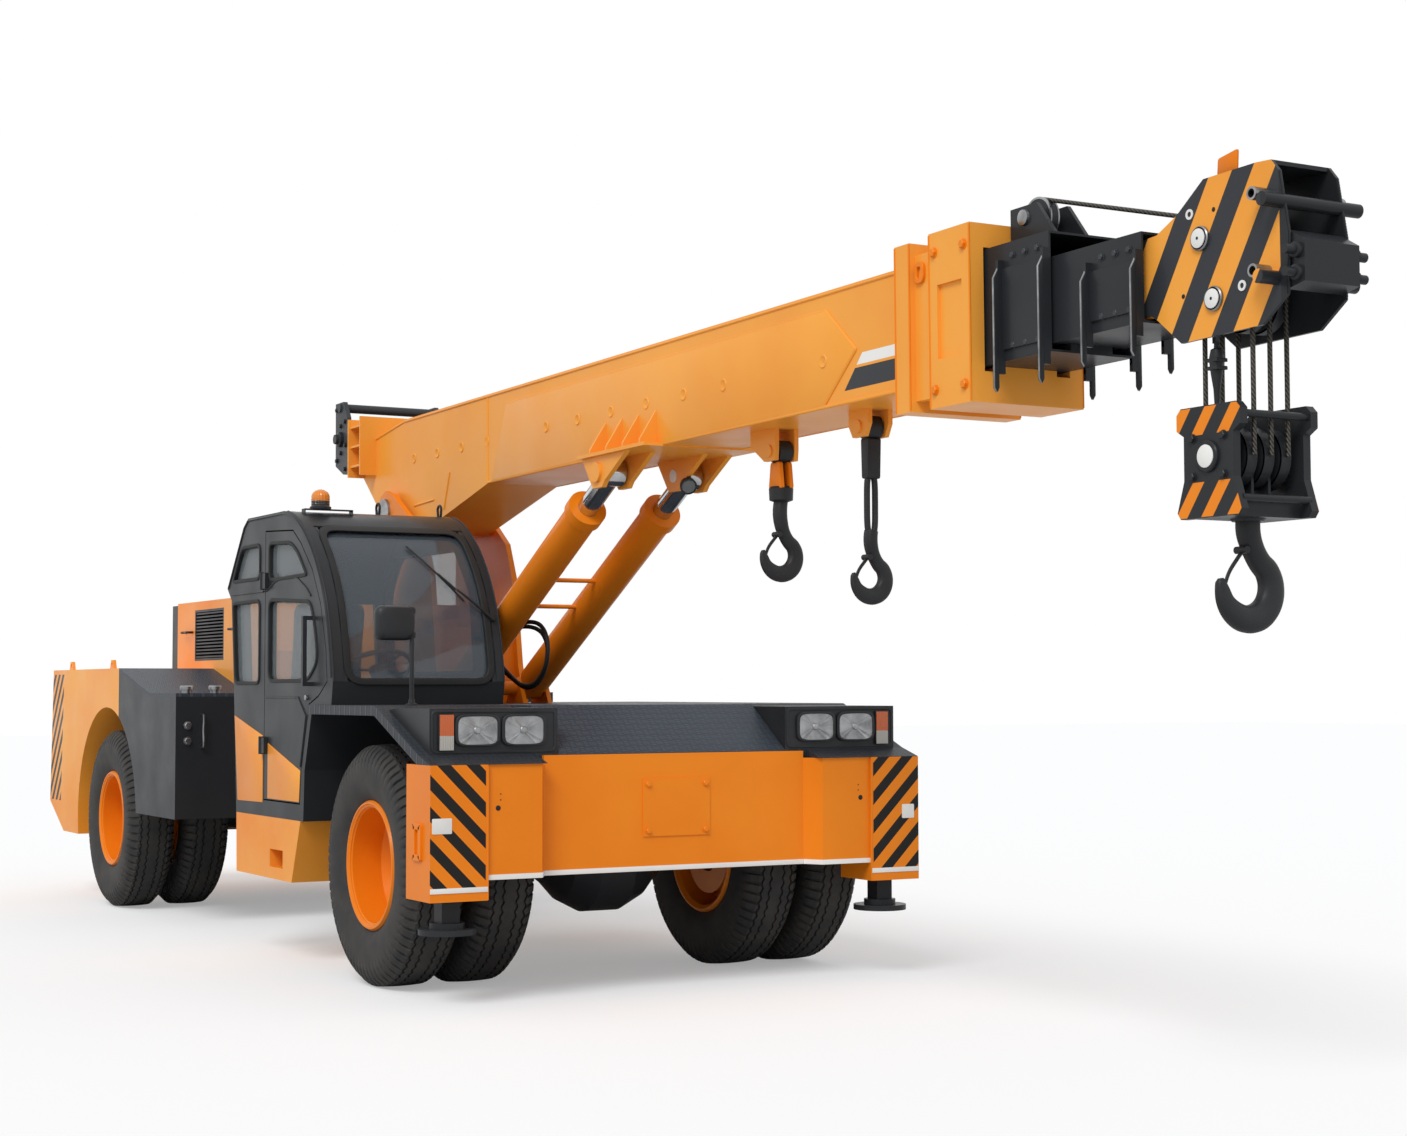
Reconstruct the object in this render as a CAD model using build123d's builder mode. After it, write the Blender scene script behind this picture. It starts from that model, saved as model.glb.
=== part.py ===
from build123d import *
from math import atan2, cos, degrees, hypot, radians, sin
import os

# Pick and carry crane, in millimetres: +X forward, +Y left, +Z up, floor at z = 0.
# X is measured from the front axle. front_axle_x then puts the origin under the middle.

# Running gear
overall_width = 2500
front_axle_x = 525
wheelbase = 4520
tyre_radius = 555
tyre_width = 290
rim_radius = 298
twin_spacing = 345
outer_tyre_y = 1043
hub_radius = 118
axle_tube_radius = 88
bowl_radius = 262
arch_radius = 700

# Clearances
seat_gap = 0.3
running_gap = 6
sheet = 20

# Front frame, deck and articulation
frame_half = 320
frame_low = 700
frame_plate = 25
frame_front_x = 700
frame_rear_x = -2050
saddle_y = (345, 420)
deck_z = 1290
deck_plate = 20
deck_half = 585
pivot_x = -2400
pivot_pin_radius = 55
fork_half = 165
fork_plate = 60
fork_low_z = 700
fork_high_z = 1150

# Bumper, fenders, lamps and jacks
bumper_x = 934
bumper_centre_x = 830
bumper_plate = 20
corner_inner_y = 983
corner_low = 460
corner_high = 1035
corner_rear_x = 665
centre_half = 700
centre_low = 545
centre_high = 1072
fender_edge = 45
shelf_front_x = 280
lamp_face_x = 800
lamp_high = 1280
lamp_low = 1085
jack_x = 800
jack_y = 1115
jack_leg = 84
jack_foot_radius = 125
jack_foot_z = 312
jack_stroke = 300

# Cab
cab_right_y = -1220
cab_left_y = -330
cab_front_x = -320
side_deck_rear_x = -1990
cab_wall = 40
cab_floor_z = 720
door_hinge_x = -1355
door_gap = 7
glass = 8

# Rear unit
rear_half = 1200
tank_front_x = -3000
tank_inner_y = 420
tank_low = 620
rear_deck_low = 1345
rear_deck_high = 1500
tank_rear_x = -4240
crane_rear_x = -5985
bay_rear_x = -5150
hood_half = 600
hood_high = 1937
hood_rear_x = -5030
hood_front_x = -3300
hood_sheet = 20

# Boom, measured along it and square to it from the lift pin
lift_pin_x = -2150
lift_pin_z = 2360
lift_pin_radius = 50
mast_rear_x = -2268
boom_tilt = 0.585
mast_plate = 30
mast_inner_y = 226
base_half = 200
base_low = 55
base_high = 518
base_wall = 10
base_front = 5600
section_two_half = 180
section_two_low = 86
section_two_high = 502
section_two_front = 5960
section_three_half = 155
section_three_low = 118
section_three_high = 416
section_three_front = 6410
section_four_half = 112
section_four_low = 134
section_four_high = 390
section_wall = 8
strap_length = 270
strap_depth = 25
head_plate = 12
collar_half = 250
bracket_half = 300
bracket_ears = ((122, 146), (254, 278))
sheave_radius = 100
rope_radius = 8
rope_pitch = 70
top_sheave_u = 5692
top_sheave_v = 607
top_sheave_radius = 80
winch_half = 300
drum_u = -598
drum_v = 480
drum_flange = 90

# Lift cylinders
ram_y = 200
ram_foot_x = -1200
ram_foot_z = 1370
ram_head_x = 570
ram_head_z = 2362
barrel_radius = 83
barrel_bore = 62
barrel_length = 1735
rod_radius = 50
rod_inner_end = 265
ram_pin_radius = 38
ram_head_half = 44

# Hooks
block_x = 4565
block_half = 160
block_low = 1890
block_high = 2240
block_pin_z = 2080
head_pin_z = 2576
swivel_x = 1745
swivel_z = 2361
link_x = 2430
link_z = 2395
hook_pin_radius = 26
hook_eye_half = 32
lug_y = (38, 58)


def side_view(y):
    """Plane seen from the right, X from the front axle, at a given y."""
    return Plane(origin=(front_axle_x, y, 0), x_dir=(1, 0, 0), z_dir=(0, -1, 0))


def top_view(z):
    return Plane(origin=(front_axle_x, 0, z))


def front_view(x):
    return Plane(origin=(front_axle_x + x, 0, 0), x_dir=(0, 1, 0), z_dir=(1, 0, 0))


tilt_cos = cos(radians(boom_tilt))
tilt_sin = sin(radians(boom_tilt))


def boom_view(y):
    """Side plane laid along the boom, with its origin on the lift pin."""
    return Plane(
        origin=(front_axle_x + lift_pin_x, y, lift_pin_z),
        x_dir=(tilt_cos, 0, tilt_sin),
        z_dir=(0, -1, 0),
    )


def boom_square(u):
    """Plane square to the boom, x across the crane and y square to the boom."""
    side = boom_view(0)
    return Plane(origin=side.from_local_coords((u, 0, 0)), x_dir=(0, 1, 0), z_dir=side.x_dir)


def along_boom(x, z):
    """A point of the side view in the boom's own measures."""
    dx = x - lift_pin_x
    dz = z - lift_pin_z
    return (dx * tilt_cos + dz * tilt_sin, dz * tilt_cos - dx * tilt_sin)


pin_high = along_boom(4505, 2776)
pin_low = along_boom(block_x, head_pin_z)


def slab(points, y_low, y_high, mode=Mode.ADD, view=side_view):
    """A plate of a side view outline from y_low to y_high."""
    with BuildSketch(view(y_high)) as outline:
        with BuildLine():
            Polyline(*points, close=True)
        make_face()
    extrude(outline.sketch, amount=y_high - y_low, mode=mode)


def layer(points, z_low, z_high, mode=Mode.ADD):
    """A plate of a plan outline from z_low to z_high."""
    with BuildSketch(top_view(z_low)) as outline:
        with BuildLine():
            Polyline(*points, close=True)
        make_face()
    extrude(outline.sketch, amount=z_high - z_low, mode=mode)


def cross_bar(x, z, radius, y_low, y_high, mode=Mode.ADD, view=side_view):
    """A round bar or bore that runs across the crane."""
    with BuildSketch(view(y_high)) as outline:
        with Locations((x, z)):
            Circle(radius)
    extrude(outline.sketch, amount=y_high - y_low, mode=mode)


def upright(x, y, radius, z_low, z_high, mode=Mode.ADD):
    with BuildSketch(top_view(z_low)) as outline:
        with Locations((x, y)):
            Circle(radius)
    extrude(outline.sketch, amount=z_high - z_low, mode=mode)


def block(x, y, z, mode=Mode.ADD):
    """A square-edged block, each side given as (low, high)."""
    layer([(x[0], y[0]), (x[1], y[0]), (x[1], y[1]), (x[0], y[1])], z[0], z[1], mode)


def ring_about_axle(points, axle_x, mode=Mode.ADD):
    """Revolves (y, radius) points about an axle at tyre height."""
    plane = Plane(origin=(front_axle_x + axle_x, 0, tyre_radius), x_dir=(0, 1, 0), z_dir=(1, 0, 0))
    with BuildSketch(plane) as outline:
        with BuildLine():
            Polyline(*points, close=True)
        make_face()
    revolve(outline.sketch, axis=Axis(plane.origin, (0, 1, 0)), mode=mode)


os.makedirs("parts", exist_ok=True)


deck_slope = [(500, deck_z), (bumper_centre_x - bumper_plate, 1075)]
deck_fall = (deck_slope[0][1] - deck_slope[1][1]) / (deck_slope[1][0] - deck_slope[0][0])


def under_deck(x):
    return deck_z - deck_plate - deck_fall * max(0, x - deck_slope[0][0])


# Front frame: two side plates, cross plates and the articulation fork

with BuildPart() as front_frame:
    rail = [
        (frame_rear_x, frame_low),
        (frame_front_x, frame_low),
        (frame_front_x, under_deck(frame_front_x)),
        (deck_slope[0][0], deck_z - deck_plate),
        (frame_rear_x, deck_z - deck_plate),
    ]
    for side in (-1, 1):
        edges = sorted((side * frame_half, side * (frame_half - frame_plate)))
        slab(rail, edges[0], edges[1])
    for x in (frame_rear_x, -1420, -520, frame_front_x - frame_plate):
        block(
            (x, x + frame_plate),
            (-frame_half, frame_half),
            (frame_low, under_deck(x + frame_plate)),
        )
    for z in (fork_low_z, fork_high_z):
        with BuildSketch(top_view(z)):
            with BuildLine():
                Polyline(
                    (pivot_x, fork_half),
                    (frame_rear_x, frame_half - frame_plate),
                    (frame_rear_x, frame_plate - frame_half),
                    (pivot_x, -fork_half),
                )
                ThreePointArc((pivot_x, -fork_half), (pivot_x - fork_half, 0), (pivot_x, fork_half))
            make_face()
            with Locations((pivot_x, 0)):
                Circle(pivot_pin_radius + seat_gap, mode=Mode.SUBTRACT)
        extrude(amount=fork_plate)
    # saddles that carry the axle
    for side in (-1, 1):
        edges = sorted((side * saddle_y[0], side * saddle_y[1]))
        block((-70, 70), edges, (tyre_radius + axle_tube_radius + seat_gap, frame_low + 60))
        edges = sorted((side * frame_half, side * saddle_y[1]))
        block((-70, 70), edges, (frame_low, frame_low + 60))
front_frame.part.label = "front_frame"
export_step(front_frame.part, "parts/front_frame.step")

with BuildPart() as articulation_pin:
    upright(pivot_x, 0, pivot_pin_radius, fork_low_z - 20, fork_high_z + fork_plate)
    upright(pivot_x, 0, 85, fork_high_z + fork_plate, fork_high_z + fork_plate + 22)
articulation_pin.part.label = "articulation_pin"
export_step(articulation_pin.part, "parts/articulation_pin.step")

# Front deck: flat plate beside the cab, then the slope down to the bumper
with BuildPart() as front_deck:
    slab(
        [
            (mast_rear_x, deck_z),
            deck_slope[0],
            deck_slope[1],
            (deck_slope[1][0], deck_slope[1][1] - deck_plate),
            (deck_slope[0][0], deck_z - deck_plate),
            (mast_rear_x, deck_z - deck_plate),
        ],
        -deck_half,
        deck_half,
    )
    # the cab stands in this corner
    corner = (mast_rear_x - 1, cab_front_x)
    block(corner, (-deck_half - 1, cab_left_y + 5), (deck_z - 50, deck_z + 1), Mode.SUBTRACT)
    corner = (mast_rear_x - 1, side_deck_rear_x)
    block(corner, (frame_half, deck_half + 1), (deck_z - 50, deck_z + 1), Mode.SUBTRACT)
front_deck.part.label = "front_deck"
export_step(front_deck.part, "parts/front_deck.step")

# Fenders over the front wheels, the left one running back over the side box
bumper_top = 1040
fender_toe = (bumper_x - 4, bumper_top + 2)
fender_knee = (lamp_face_x, 1080)
slope_fall = (deck_z - fender_knee[1]) / (fender_knee[0] - shelf_front_x)


def fender_top(x):
    return deck_z - slope_fall * max(0, x - shelf_front_x)


with BuildPart() as front_fenders:
    for side, rear_x in ((-1, -610), (1, side_deck_rear_x)):
        edges = sorted((side * deck_half, side * overall_width / 2))
        under_x = shelf_front_x + (deck_z - fender_edge - bumper_top) / slope_fall
        slab(
            [
                (rear_x, deck_z),
                (shelf_front_x, deck_z),
                fender_knee,
                fender_toe,
                (fender_toe[0], bumper_top),
                (under_x - 8, bumper_top),
                (shelf_front_x - 8, deck_z - fender_edge),
                (rear_x, deck_z - fender_edge),
            ],
            edges[0],
            edges[1],
        )
    # the middle of the bumper stands up in front of them
    block((deck_slope[1][0], bumper_x), (-centre_half, centre_half), (1000, 1100), Mode.SUBTRACT)
front_fenders.part.label = "front_fenders"
export_step(front_fenders.part, "parts/front_fenders.step")

# Bumper: corner boxes round the jacks, outer panels and a recessed middle
with BuildPart() as front_bumper:
    outer_plan = [
        (corner_rear_x, overall_width / 2),
        (bumper_x, overall_width / 2),
        (bumper_x, corner_inner_y),
        (bumper_x - 14, corner_inner_y),
        (bumper_x - 14, centre_half + 20),
        (bumper_centre_x, centre_half - 30),
    ]
    inner_plan = [
        (bumper_centre_x - bumper_plate, centre_half - 42),
        (bumper_x - 14 - bumper_plate, centre_half + 28),
        (bumper_x - 14 - bumper_plate, corner_inner_y),
        (corner_rear_x, corner_inner_y),
    ]
    for side in (-1, 1):
        half_plan = [(x, side * y) for x, y in outer_plan + inner_plan]
        layer(half_plan, centre_low, bumper_top)
        # the corner box hangs lower and is hollow round the jack leg
        corner = sorted((side * overall_width / 2, side * corner_inner_y))
        hollow = sorted((side * (overall_width / 2 - bumper_plate), side * (corner_inner_y + bumper_plate)))
        block((corner_rear_x, bumper_x), corner, (corner_low, corner_high))
        block(
            (corner_rear_x + bumper_plate, bumper_x - bumper_plate),
            hollow,
            (corner_low - 1, 1010),
            Mode.SUBTRACT,
        )
        # guide plate round the leg
        block((corner_rear_x + bumper_plate, bumper_x - bumper_plate), hollow, (480, 505))
        leg_gap = jack_leg / 2 + seat_gap
        block(
            (jack_x - leg_gap, jack_x + leg_gap),
            (side * jack_y - leg_gap, side * jack_y + leg_gap),
            (470, 520),
            Mode.SUBTRACT,
        )
    block(
        (bumper_centre_x - bumper_plate, bumper_centre_x),
        (-centre_half + 30, centre_half - 30),
        (centre_low, centre_high),
    )
    # arms back to the frame
    for side in (-1, 1):
        edges = sorted((side * (frame_half - 60), side * frame_half))
        block((frame_front_x, bumper_centre_x - bumper_plate), edges, (760, 1040))
    # bolted cover in the middle
    block((bumper_centre_x, bumper_centre_x + 6), (-180, 165), (700, 960))
front_bumper.part.label = "front_bumper"
export_step(front_bumper.part, "parts/front_bumper.step")

# Lamp housings: wedges that stand on the fender's slope
housing_inner_y = 590
housing_outer_y = 1200

with BuildPart() as lamp_housings:
    for side in (-1, 1):
        edges = sorted((side * housing_inner_y, side * housing_outer_y))
        slab(
            [
                (330, fender_top(330)),
                (lamp_face_x, fender_top(lamp_face_x)),
                (lamp_face_x, lamp_high),
                (420, lamp_high),
            ],
            edges[0],
            edges[1],
        )
lamp_housings.part.label = "lamp_housings"
export_step(lamp_housings.part, "parts/lamp_housings.step")

# lamp: inner y, outer y, low z, high z
headlamp_table = ((660, 853, 1120, 1248), (881, 1075, 1120, 1248))
with BuildPart() as headlamps:
    for inner_y, outer_y, low, high in headlamp_table:
        for side in (-1, 1):
            edges = sorted((side * inner_y, side * outer_y))
            block((lamp_face_x, lamp_face_x + 14), edges, (low, high))
headlamps.part.label = "headlamps"
export_step(headlamps.part, "parts/headlamps.step")

with BuildPart() as indicators:
    for side in (-1, 1):
        edges = sorted((side * 1093, side * 1158))
        block((lamp_face_x, lamp_face_x + 16), edges, (1100, 1253))
indicators.part.label = "indicators"
export_step(indicators.part, "parts/indicators.step")

# Jacks: a square leg in each corner box with a round foot
for side, name in ((-1, "jack_right"), (1, "jack_left")):
    with BuildPart() as jack:
        half = jack_leg / 2
        block(
            (jack_x - half, jack_x + half),
            (side * jack_y - half, side * jack_y + half),
            (jack_foot_z + 25, 985),
        )
        upright(jack_x, side * jack_y, jack_foot_radius, jack_foot_z, jack_foot_z + 25)
        upright(jack_x, side * jack_y, 75, jack_foot_z + 25, jack_foot_z + 50)
    jack.part.label = name
    export_step(jack.part, f"parts/{name}.step")

# Axles: a banjo housing with stub ends inside the hubs
axle_end_y = outer_tyre_y - twin_spacing / 2 - 190
axle_outline = [
    (-axle_end_y, 0),
    (-axle_end_y, axle_tube_radius - 12),
    (-335, axle_tube_radius),
    (-285, 125),
    (-205, 205),
    (-90, bowl_radius),
    (90, bowl_radius),
    (205, 205),
    (285, 125),
    (335, axle_tube_radius),
    (axle_end_y, axle_tube_radius - 12),
    (axle_end_y, 0),
]
for name, axle_x in (("front_axle", 0), ("rear_axle", -wheelbase)):
    with BuildPart() as axle:
        ring_about_axle(axle_outline, axle_x)
    axle.part.label = name
    export_step(axle.part, f"parts/{name}.step")

# Wheels: twin tyres and dished rims bolted back to back on one hub
disc_y = outer_tyre_y - twin_spacing / 2
half_tyre = tyre_width / 2
# tyre outline: share of the half width, radius
tyre_outline = (
    (-0.60, rim_radius - 18),
    (-0.668, rim_radius + 2),
    (-0.96, rim_radius + 60),
    (-1.0, 400),
    (-0.93, 480),
    (-0.80, 535),
    (-0.62, tyre_radius),
    (0.62, tyre_radius),
    (0.80, 535),
    (0.93, 480),
    (1.0, 400),
    (0.96, rim_radius + 60),
    (0.668, rim_radius + 2),
    (0.60, rim_radius - 18),
)
wheel_table = (
    ("front_right", 0, -1),
    ("front_left", 0, 1),
    ("rear_right", -wheelbase, -1),
    ("rear_left", -wheelbase, 1),
)
for name, axle_x, side in wheel_table:
    with BuildPart() as tyres:
        for centre in (outer_tyre_y, outer_tyre_y - twin_spacing):
            outline = [(side * (centre + share * half_tyre), radius) for share, radius in tyre_outline]
            ring_about_axle(outline, axle_x)
    tyres.part.label = f"{name}_tyres"
    export_step(tyres.part, f"parts/{name}_tyres.step")
    with BuildPart() as rims:
        # each rim: distance from its tyre's middle towards its open side, radius
        seat_radius = rim_radius - 18 - seat_gap
        well = seat_radius - 16
        to_disc = -twin_spacing / 2
        rim_outline = (
            (100, seat_radius),
            (100, rim_radius),
            (112, rim_radius),
            (124, rim_radius - 8),
            (124, rim_radius - 16),
            (104, well),
            (-40, well),
            (to_disc + 26, hub_radius + 60),
            (to_disc + 14, hub_radius),
            (to_disc, hub_radius),
            (to_disc, hub_radius + 62),
            (-66, well),
            (-104, well),
            (-124, rim_radius - 16),
            (-124, rim_radius - 8),
            (-112, rim_radius),
            (-100, rim_radius),
            (-100, seat_radius),
        )
        for centre, way in ((outer_tyre_y, 1), (outer_tyre_y - twin_spacing, -1)):
            profile = [(centre + way * reach, radius) for reach, radius in rim_outline]
            ring_about_axle([(side * y, radius) for y, radius in profile], axle_x)
        # hub and drum
        inner_y = axle_end_y - 60
        hub_profile = [
            (inner_y, 98),
            (inner_y, 205),
            (inner_y + 130, 205),
            (inner_y + 150, hub_radius),
            (disc_y + 30, hub_radius),
            (disc_y + 105, hub_radius - 12),
            (disc_y + 120, hub_radius - 40),
            (disc_y + 120, 0),
            (axle_end_y + seat_gap, 0),
            (axle_end_y + seat_gap, 98),
        ]
        ring_about_axle([(side * y, radius) for y, radius in hub_profile], axle_x)
    rims.part.label = f"{name}_rims"
    export_step(rims.part, f"parts/{name}_rims.step")

# Cab: one hollow box of sheet and pillars, with the windows and the doorway cut
cab_outline = [
    (-1800, cab_floor_z),
    (-750, cab_floor_z),
    (-735, 970),
    (-625, deck_z),
    (-365, deck_z),
    (-345, 1400),
    (-385, 1600),
    (-455, 1800),
    (-580, 1990),
    (-760, 2150),
    (-900, 2225),
    (-1120, 2262),
    (-1640, 2262),
    (-1710, 2225),
    (-1985, 1905),
    (-1912, 1840),
    (-1850, 1290),
]


def cab_slab(inset, y_low, y_high, mode=Mode.ADD):
    """The cab's side outline, drawn in by an inset, from y_low to y_high."""
    with BuildSketch(side_view(y_high)) as outline:
        with BuildLine():
            Polyline(*cab_outline, close=True)
        make_face()
        if inset:
            offset(amount=-inset, kind=Kind.INTERSECTION)
    extrude(outline.sketch, amount=y_high - y_low, mode=mode)


door_outline = [
    (door_hinge_x, 800),
    (-800, 800),
    (-782, 970),
    (-672, 1290),
    (-540, 1330),
    (-420, 1400),
    (-440, 1560),
    (-520, 1780),
    (-640, 1950),
    (-810, 2090),
    (-930, 2160),
    (door_hinge_x, 2180),
]
door_window_high = [
    (door_hinge_x + 70, 1925),
    (-720, 1925),
    (-860, 2045),
    (-965, 2095),
    (door_hinge_x + 70, 2110),
]
door_window_low = [
    (door_hinge_x + 70, 1410),
    (-700, 1410),
    (-560, 1500),
    (-590, 1640),
    (-660, 1790),
    (door_hinge_x + 70, 1820),
]
rear_window_high = [
    (-1880, 1940),
    (-1440, 1940),
    (-1440, 2110),
    (-1740, 2110),
]
rear_window_low = [
    (-1830, 1400),
    (-1440, 1400),
    (-1440, 1820),
    (-1880, 1820),
]
left_window = [
    (-1800, 1450),
    (-640, 1450),
    (-700, 1850),
    (-900, 2080),
    (-1700, 2080),
    (-1860, 1880),
]


def inset_slab(points, inset, y_low, y_high, mode=Mode.ADD):
    with BuildSketch(side_view(y_high)) as outline:
        with BuildLine():
            Polyline(*points, close=True)
        make_face()
        if inset:
            offset(amount=-inset, kind=Kind.INTERSECTION)
    extrude(outline.sketch, amount=y_high - y_low, mode=mode)


screen_y = (cab_right_y + 75, cab_left_y - 65)
screen_z = (1400, 2165)
back_y = (cab_right_y + 90, cab_left_y - 90)
back_z = (1400, 1830)
roof_x = (-1560, -1080)
inner_right = cab_right_y + cab_wall
inner_left = cab_left_y - cab_wall

with BuildPart() as cab_shell:
    cab_slab(0, cab_right_y, cab_left_y)
    cab_slab(cab_wall, inner_right, inner_left, Mode.SUBTRACT)
    # doorway, and the fixed windows in the right, left, front and back walls
    inset_slab(door_outline, 0, cab_right_y - 1, inner_right, Mode.SUBTRACT)
    for points in (rear_window_high, rear_window_low):
        inset_slab(points, 0, cab_right_y - 1, inner_right, Mode.SUBTRACT)
    inset_slab(left_window, 0, inner_left, cab_left_y + 1, Mode.SUBTRACT)
    block((-1000, -300), screen_y, screen_z, Mode.SUBTRACT)
    block((-2020, -1700), back_y, back_z, Mode.SUBTRACT)
cab_shell.part.label = "cab_shell"
export_step(cab_shell.part, "parts/cab_shell.step")

glass_mid = cab_wall / 2
# the back wall leans, so its pane does too
back_lean = (cab_outline[15][0] - cab_outline[16][0]) / (cab_outline[15][1] - cab_outline[16][1])


def back_wall_x(z, depth):
    return cab_outline[16][0] + back_lean * (z - cab_outline[16][1]) + depth


back_pane = [
    (back_wall_x(z, depth), z)
    for z, depth in (
        (back_z[0] + seat_gap, glass_mid - glass / 2),
        (back_z[1] - seat_gap, glass_mid - glass / 2),
        (back_z[1] - seat_gap, glass_mid + glass / 2),
        (back_z[0] + seat_gap, glass_mid + glass / 2),
    )
]
with BuildPart() as windscreen:
    cab_slab(glass_mid - glass / 2, screen_y[0] + seat_gap, screen_y[1] - seat_gap)
    cab_slab(glass_mid + glass / 2, screen_y[0], screen_y[1], Mode.SUBTRACT)
    with Locations((front_axle_x - 650, (screen_y[0] + screen_y[1]) / 2, (screen_z[0] + screen_z[1]) / 2)):
        Box(
            700,
            screen_y[1] - screen_y[0] - 2 * seat_gap,
            screen_z[1] - screen_z[0] - 2 * seat_gap,
            mode=Mode.INTERSECT,
        )
windscreen.part.label = "windscreen"
export_step(windscreen.part, "parts/windscreen.step")

pane_right = (cab_right_y + glass_mid - glass / 2, cab_right_y + glass_mid + glass / 2)
pane_left = (cab_left_y - glass_mid - glass / 2, cab_left_y - glass_mid + glass / 2)
with BuildPart() as fixed_windows:
    for points in (rear_window_high, rear_window_low):
        inset_slab(points, seat_gap, pane_right[0], pane_right[1])
    inset_slab(left_window, seat_gap, pane_left[0], pane_left[1])
    slab(back_pane, back_y[0] + seat_gap, back_y[1] - seat_gap)
fixed_windows.part.label = "fixed_windows"
export_step(fixed_windows.part, "parts/fixed_windows.step")

hinge_y = cab_right_y - 16
# the door fills its doorway with a gap all round, and carries two windows and a handle
with BuildPart() as cab_door:
    inset_slab(door_outline, door_gap, cab_right_y, inner_right)
    for points in (door_window_high, door_window_low):
        inset_slab(points, 0, cab_right_y - 1, inner_right + 1, Mode.SUBTRACT)
    # hinge leaves and knuckles on the rear edge
    for z in (1080, 1920):
        block((door_hinge_x, door_hinge_x + 60), (hinge_y - 6, cab_right_y), (z - 40, z + 40))
        upright(door_hinge_x, hinge_y, 13, z - 45, z + 45)
    # grab handle on the front edge
    block((-640, -615), (cab_right_y - 55, cab_right_y - 35), (1380, 1720))
    for z in (1380, 1700):
        block((-640, -615), (cab_right_y - 55, cab_right_y), (z, z + 20))
cab_door.part.label = "cab_door"
export_step(cab_door.part, "parts/cab_door.step")

with BuildPart() as door_windows:
    for points in (door_window_high, door_window_low):
        inset_slab(points, seat_gap, pane_right[0], pane_right[1])
door_windows.part.label = "door_windows"
export_step(door_windows.part, "parts/door_windows.step")

# Cab inside: seat, steering column with its wheel
seat_mid_y = (cab_right_y + cab_left_y) / 2
floor_top = cab_floor_z + cab_wall
with BuildPart() as seat_base:
    block((-1600, -1300), (seat_mid_y - 180, seat_mid_y + 180), (floor_top, 1180))
seat_base.part.label = "seat_base"
export_step(seat_base.part, "parts/seat_base.step")

with BuildPart() as seat_cushions:
    block((-1660, -1180), (seat_mid_y - 230, seat_mid_y + 230), (1180 + seat_gap, 1290))
    slab(
        [(-1660, 1290), (-1560, 1290), (-1640, 1860), (-1740, 1850)],
        seat_mid_y - 220,
        seat_mid_y + 220,
    )
seat_cushions.part.label = "seat_cushions"
export_step(seat_cushions.part, "parts/seat_cushions.step")

with BuildPart() as steering_column:
    slab(
        [(-910, floor_top), (-830, floor_top), (-900, 1480), (-960, 1470)],
        seat_mid_y - 45,
        seat_mid_y + 45,
    )
    wheel_plane = Plane(
        origin=(front_axle_x - 930, seat_mid_y, 1466), x_dir=(0, 1, 0), z_dir=(-0.5, 0, 0.866)
    )
    with BuildSketch(wheel_plane):
        Circle(190)
        Circle(162, mode=Mode.SUBTRACT)
        Rectangle(330, 34)
        Rectangle(34, 330)
        Circle(45)
    extrude(amount=24)
steering_column.part.label = "steering_column"
export_step(steering_column.part, "parts/steering_column.step")

# Step box under the door and the side box on the left
step_right = (cab_right_y, -450)
with BuildPart() as step_box:
    slab(
        [(-1798, cab_floor_z), (-790, cab_floor_z), (-915, 412), (-1788, 412)],
        step_right[0],
        step_right[1],
    )
    block((-1250, -1050), (cab_right_y - 1, cab_right_y + 160), (471, 560), Mode.SUBTRACT)
step_box.part.label = "step_box"
export_step(step_box.part, "parts/step_box.step")

with BuildPart() as side_box:
    slab(
        [(-1850, deck_z - fender_edge), (-800, deck_z - fender_edge), (-800, 600), (-915, 412), (-1788, 412)],
        340,
        1200,
    )
side_box.part.label = "side_box"
export_step(side_box.part, "parts/side_box.step")

# Mirror and beacon
with BuildPart() as mirror:
    upright(180, -1150, 12, deck_z, 1600)
    block((150, 205), (-1290 + 80, -1020), (1585, 1745))
mirror.part.label = "mirror"
export_step(mirror.part, "parts/mirror.step")

with BuildPart() as beacon:
    upright(-980, -1060, 55, 2262 + 10, 2262 + 22)
    upright(-980, -1060, 48, 2262 + 22, 2262 + 110)
    upright(-980, -1060, 18, 2242, 2262 + 10)
beacon.part.label = "beacon"
export_step(beacon.part, "parts/beacon.step")

# Mast: two side plates on the deck, a front plate between them, and the lift pin
mast_outline = [
    (mast_rear_x, deck_z),
    (mast_rear_x, lift_pin_z),
    (-2225, lift_pin_z + 95),
    (-2150, lift_pin_z + 125),
    (-2040, lift_pin_z + 95),
    (-1750, 2290),
    (-1570, 2165),
    (-1480, 1970),
    (-1400, 1500),
    (-1330, deck_z),
]
mast_outer_y = mast_inner_y + mast_plate
with BuildPart() as mast:
    for side in (-1, 1):
        edges = sorted((side * mast_inner_y, side * mast_outer_y))
        slab(mast_outline, edges[0], edges[1])
        cross_bar(lift_pin_x, lift_pin_z, lift_pin_radius + seat_gap, edges[0], edges[1], Mode.SUBTRACT)
    slab([(-2268, deck_z), (-2268, 1850), (-2240, 1850), (-2240, deck_z)], -mast_inner_y, mast_inner_y)
    slab([(-1460, deck_z), (-1500, 1700), (-1472, 1700), (-1432, deck_z)], -mast_inner_y, mast_inner_y)
mast.part.label = "mast"
export_step(mast.part, "parts/mast.step")

with BuildPart() as lift_pin:
    cross_bar(lift_pin_x, lift_pin_z, lift_pin_radius, -mast_outer_y, mast_outer_y)
    for side in (-1, 1):
        edges = sorted((side * mast_outer_y, side * (mast_outer_y + 16)))
        cross_bar(lift_pin_x, lift_pin_z, 80, edges[0], edges[1])
lift_pin.part.label = "lift_pin"
export_step(lift_pin.part, "parts/lift_pin.step")

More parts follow.
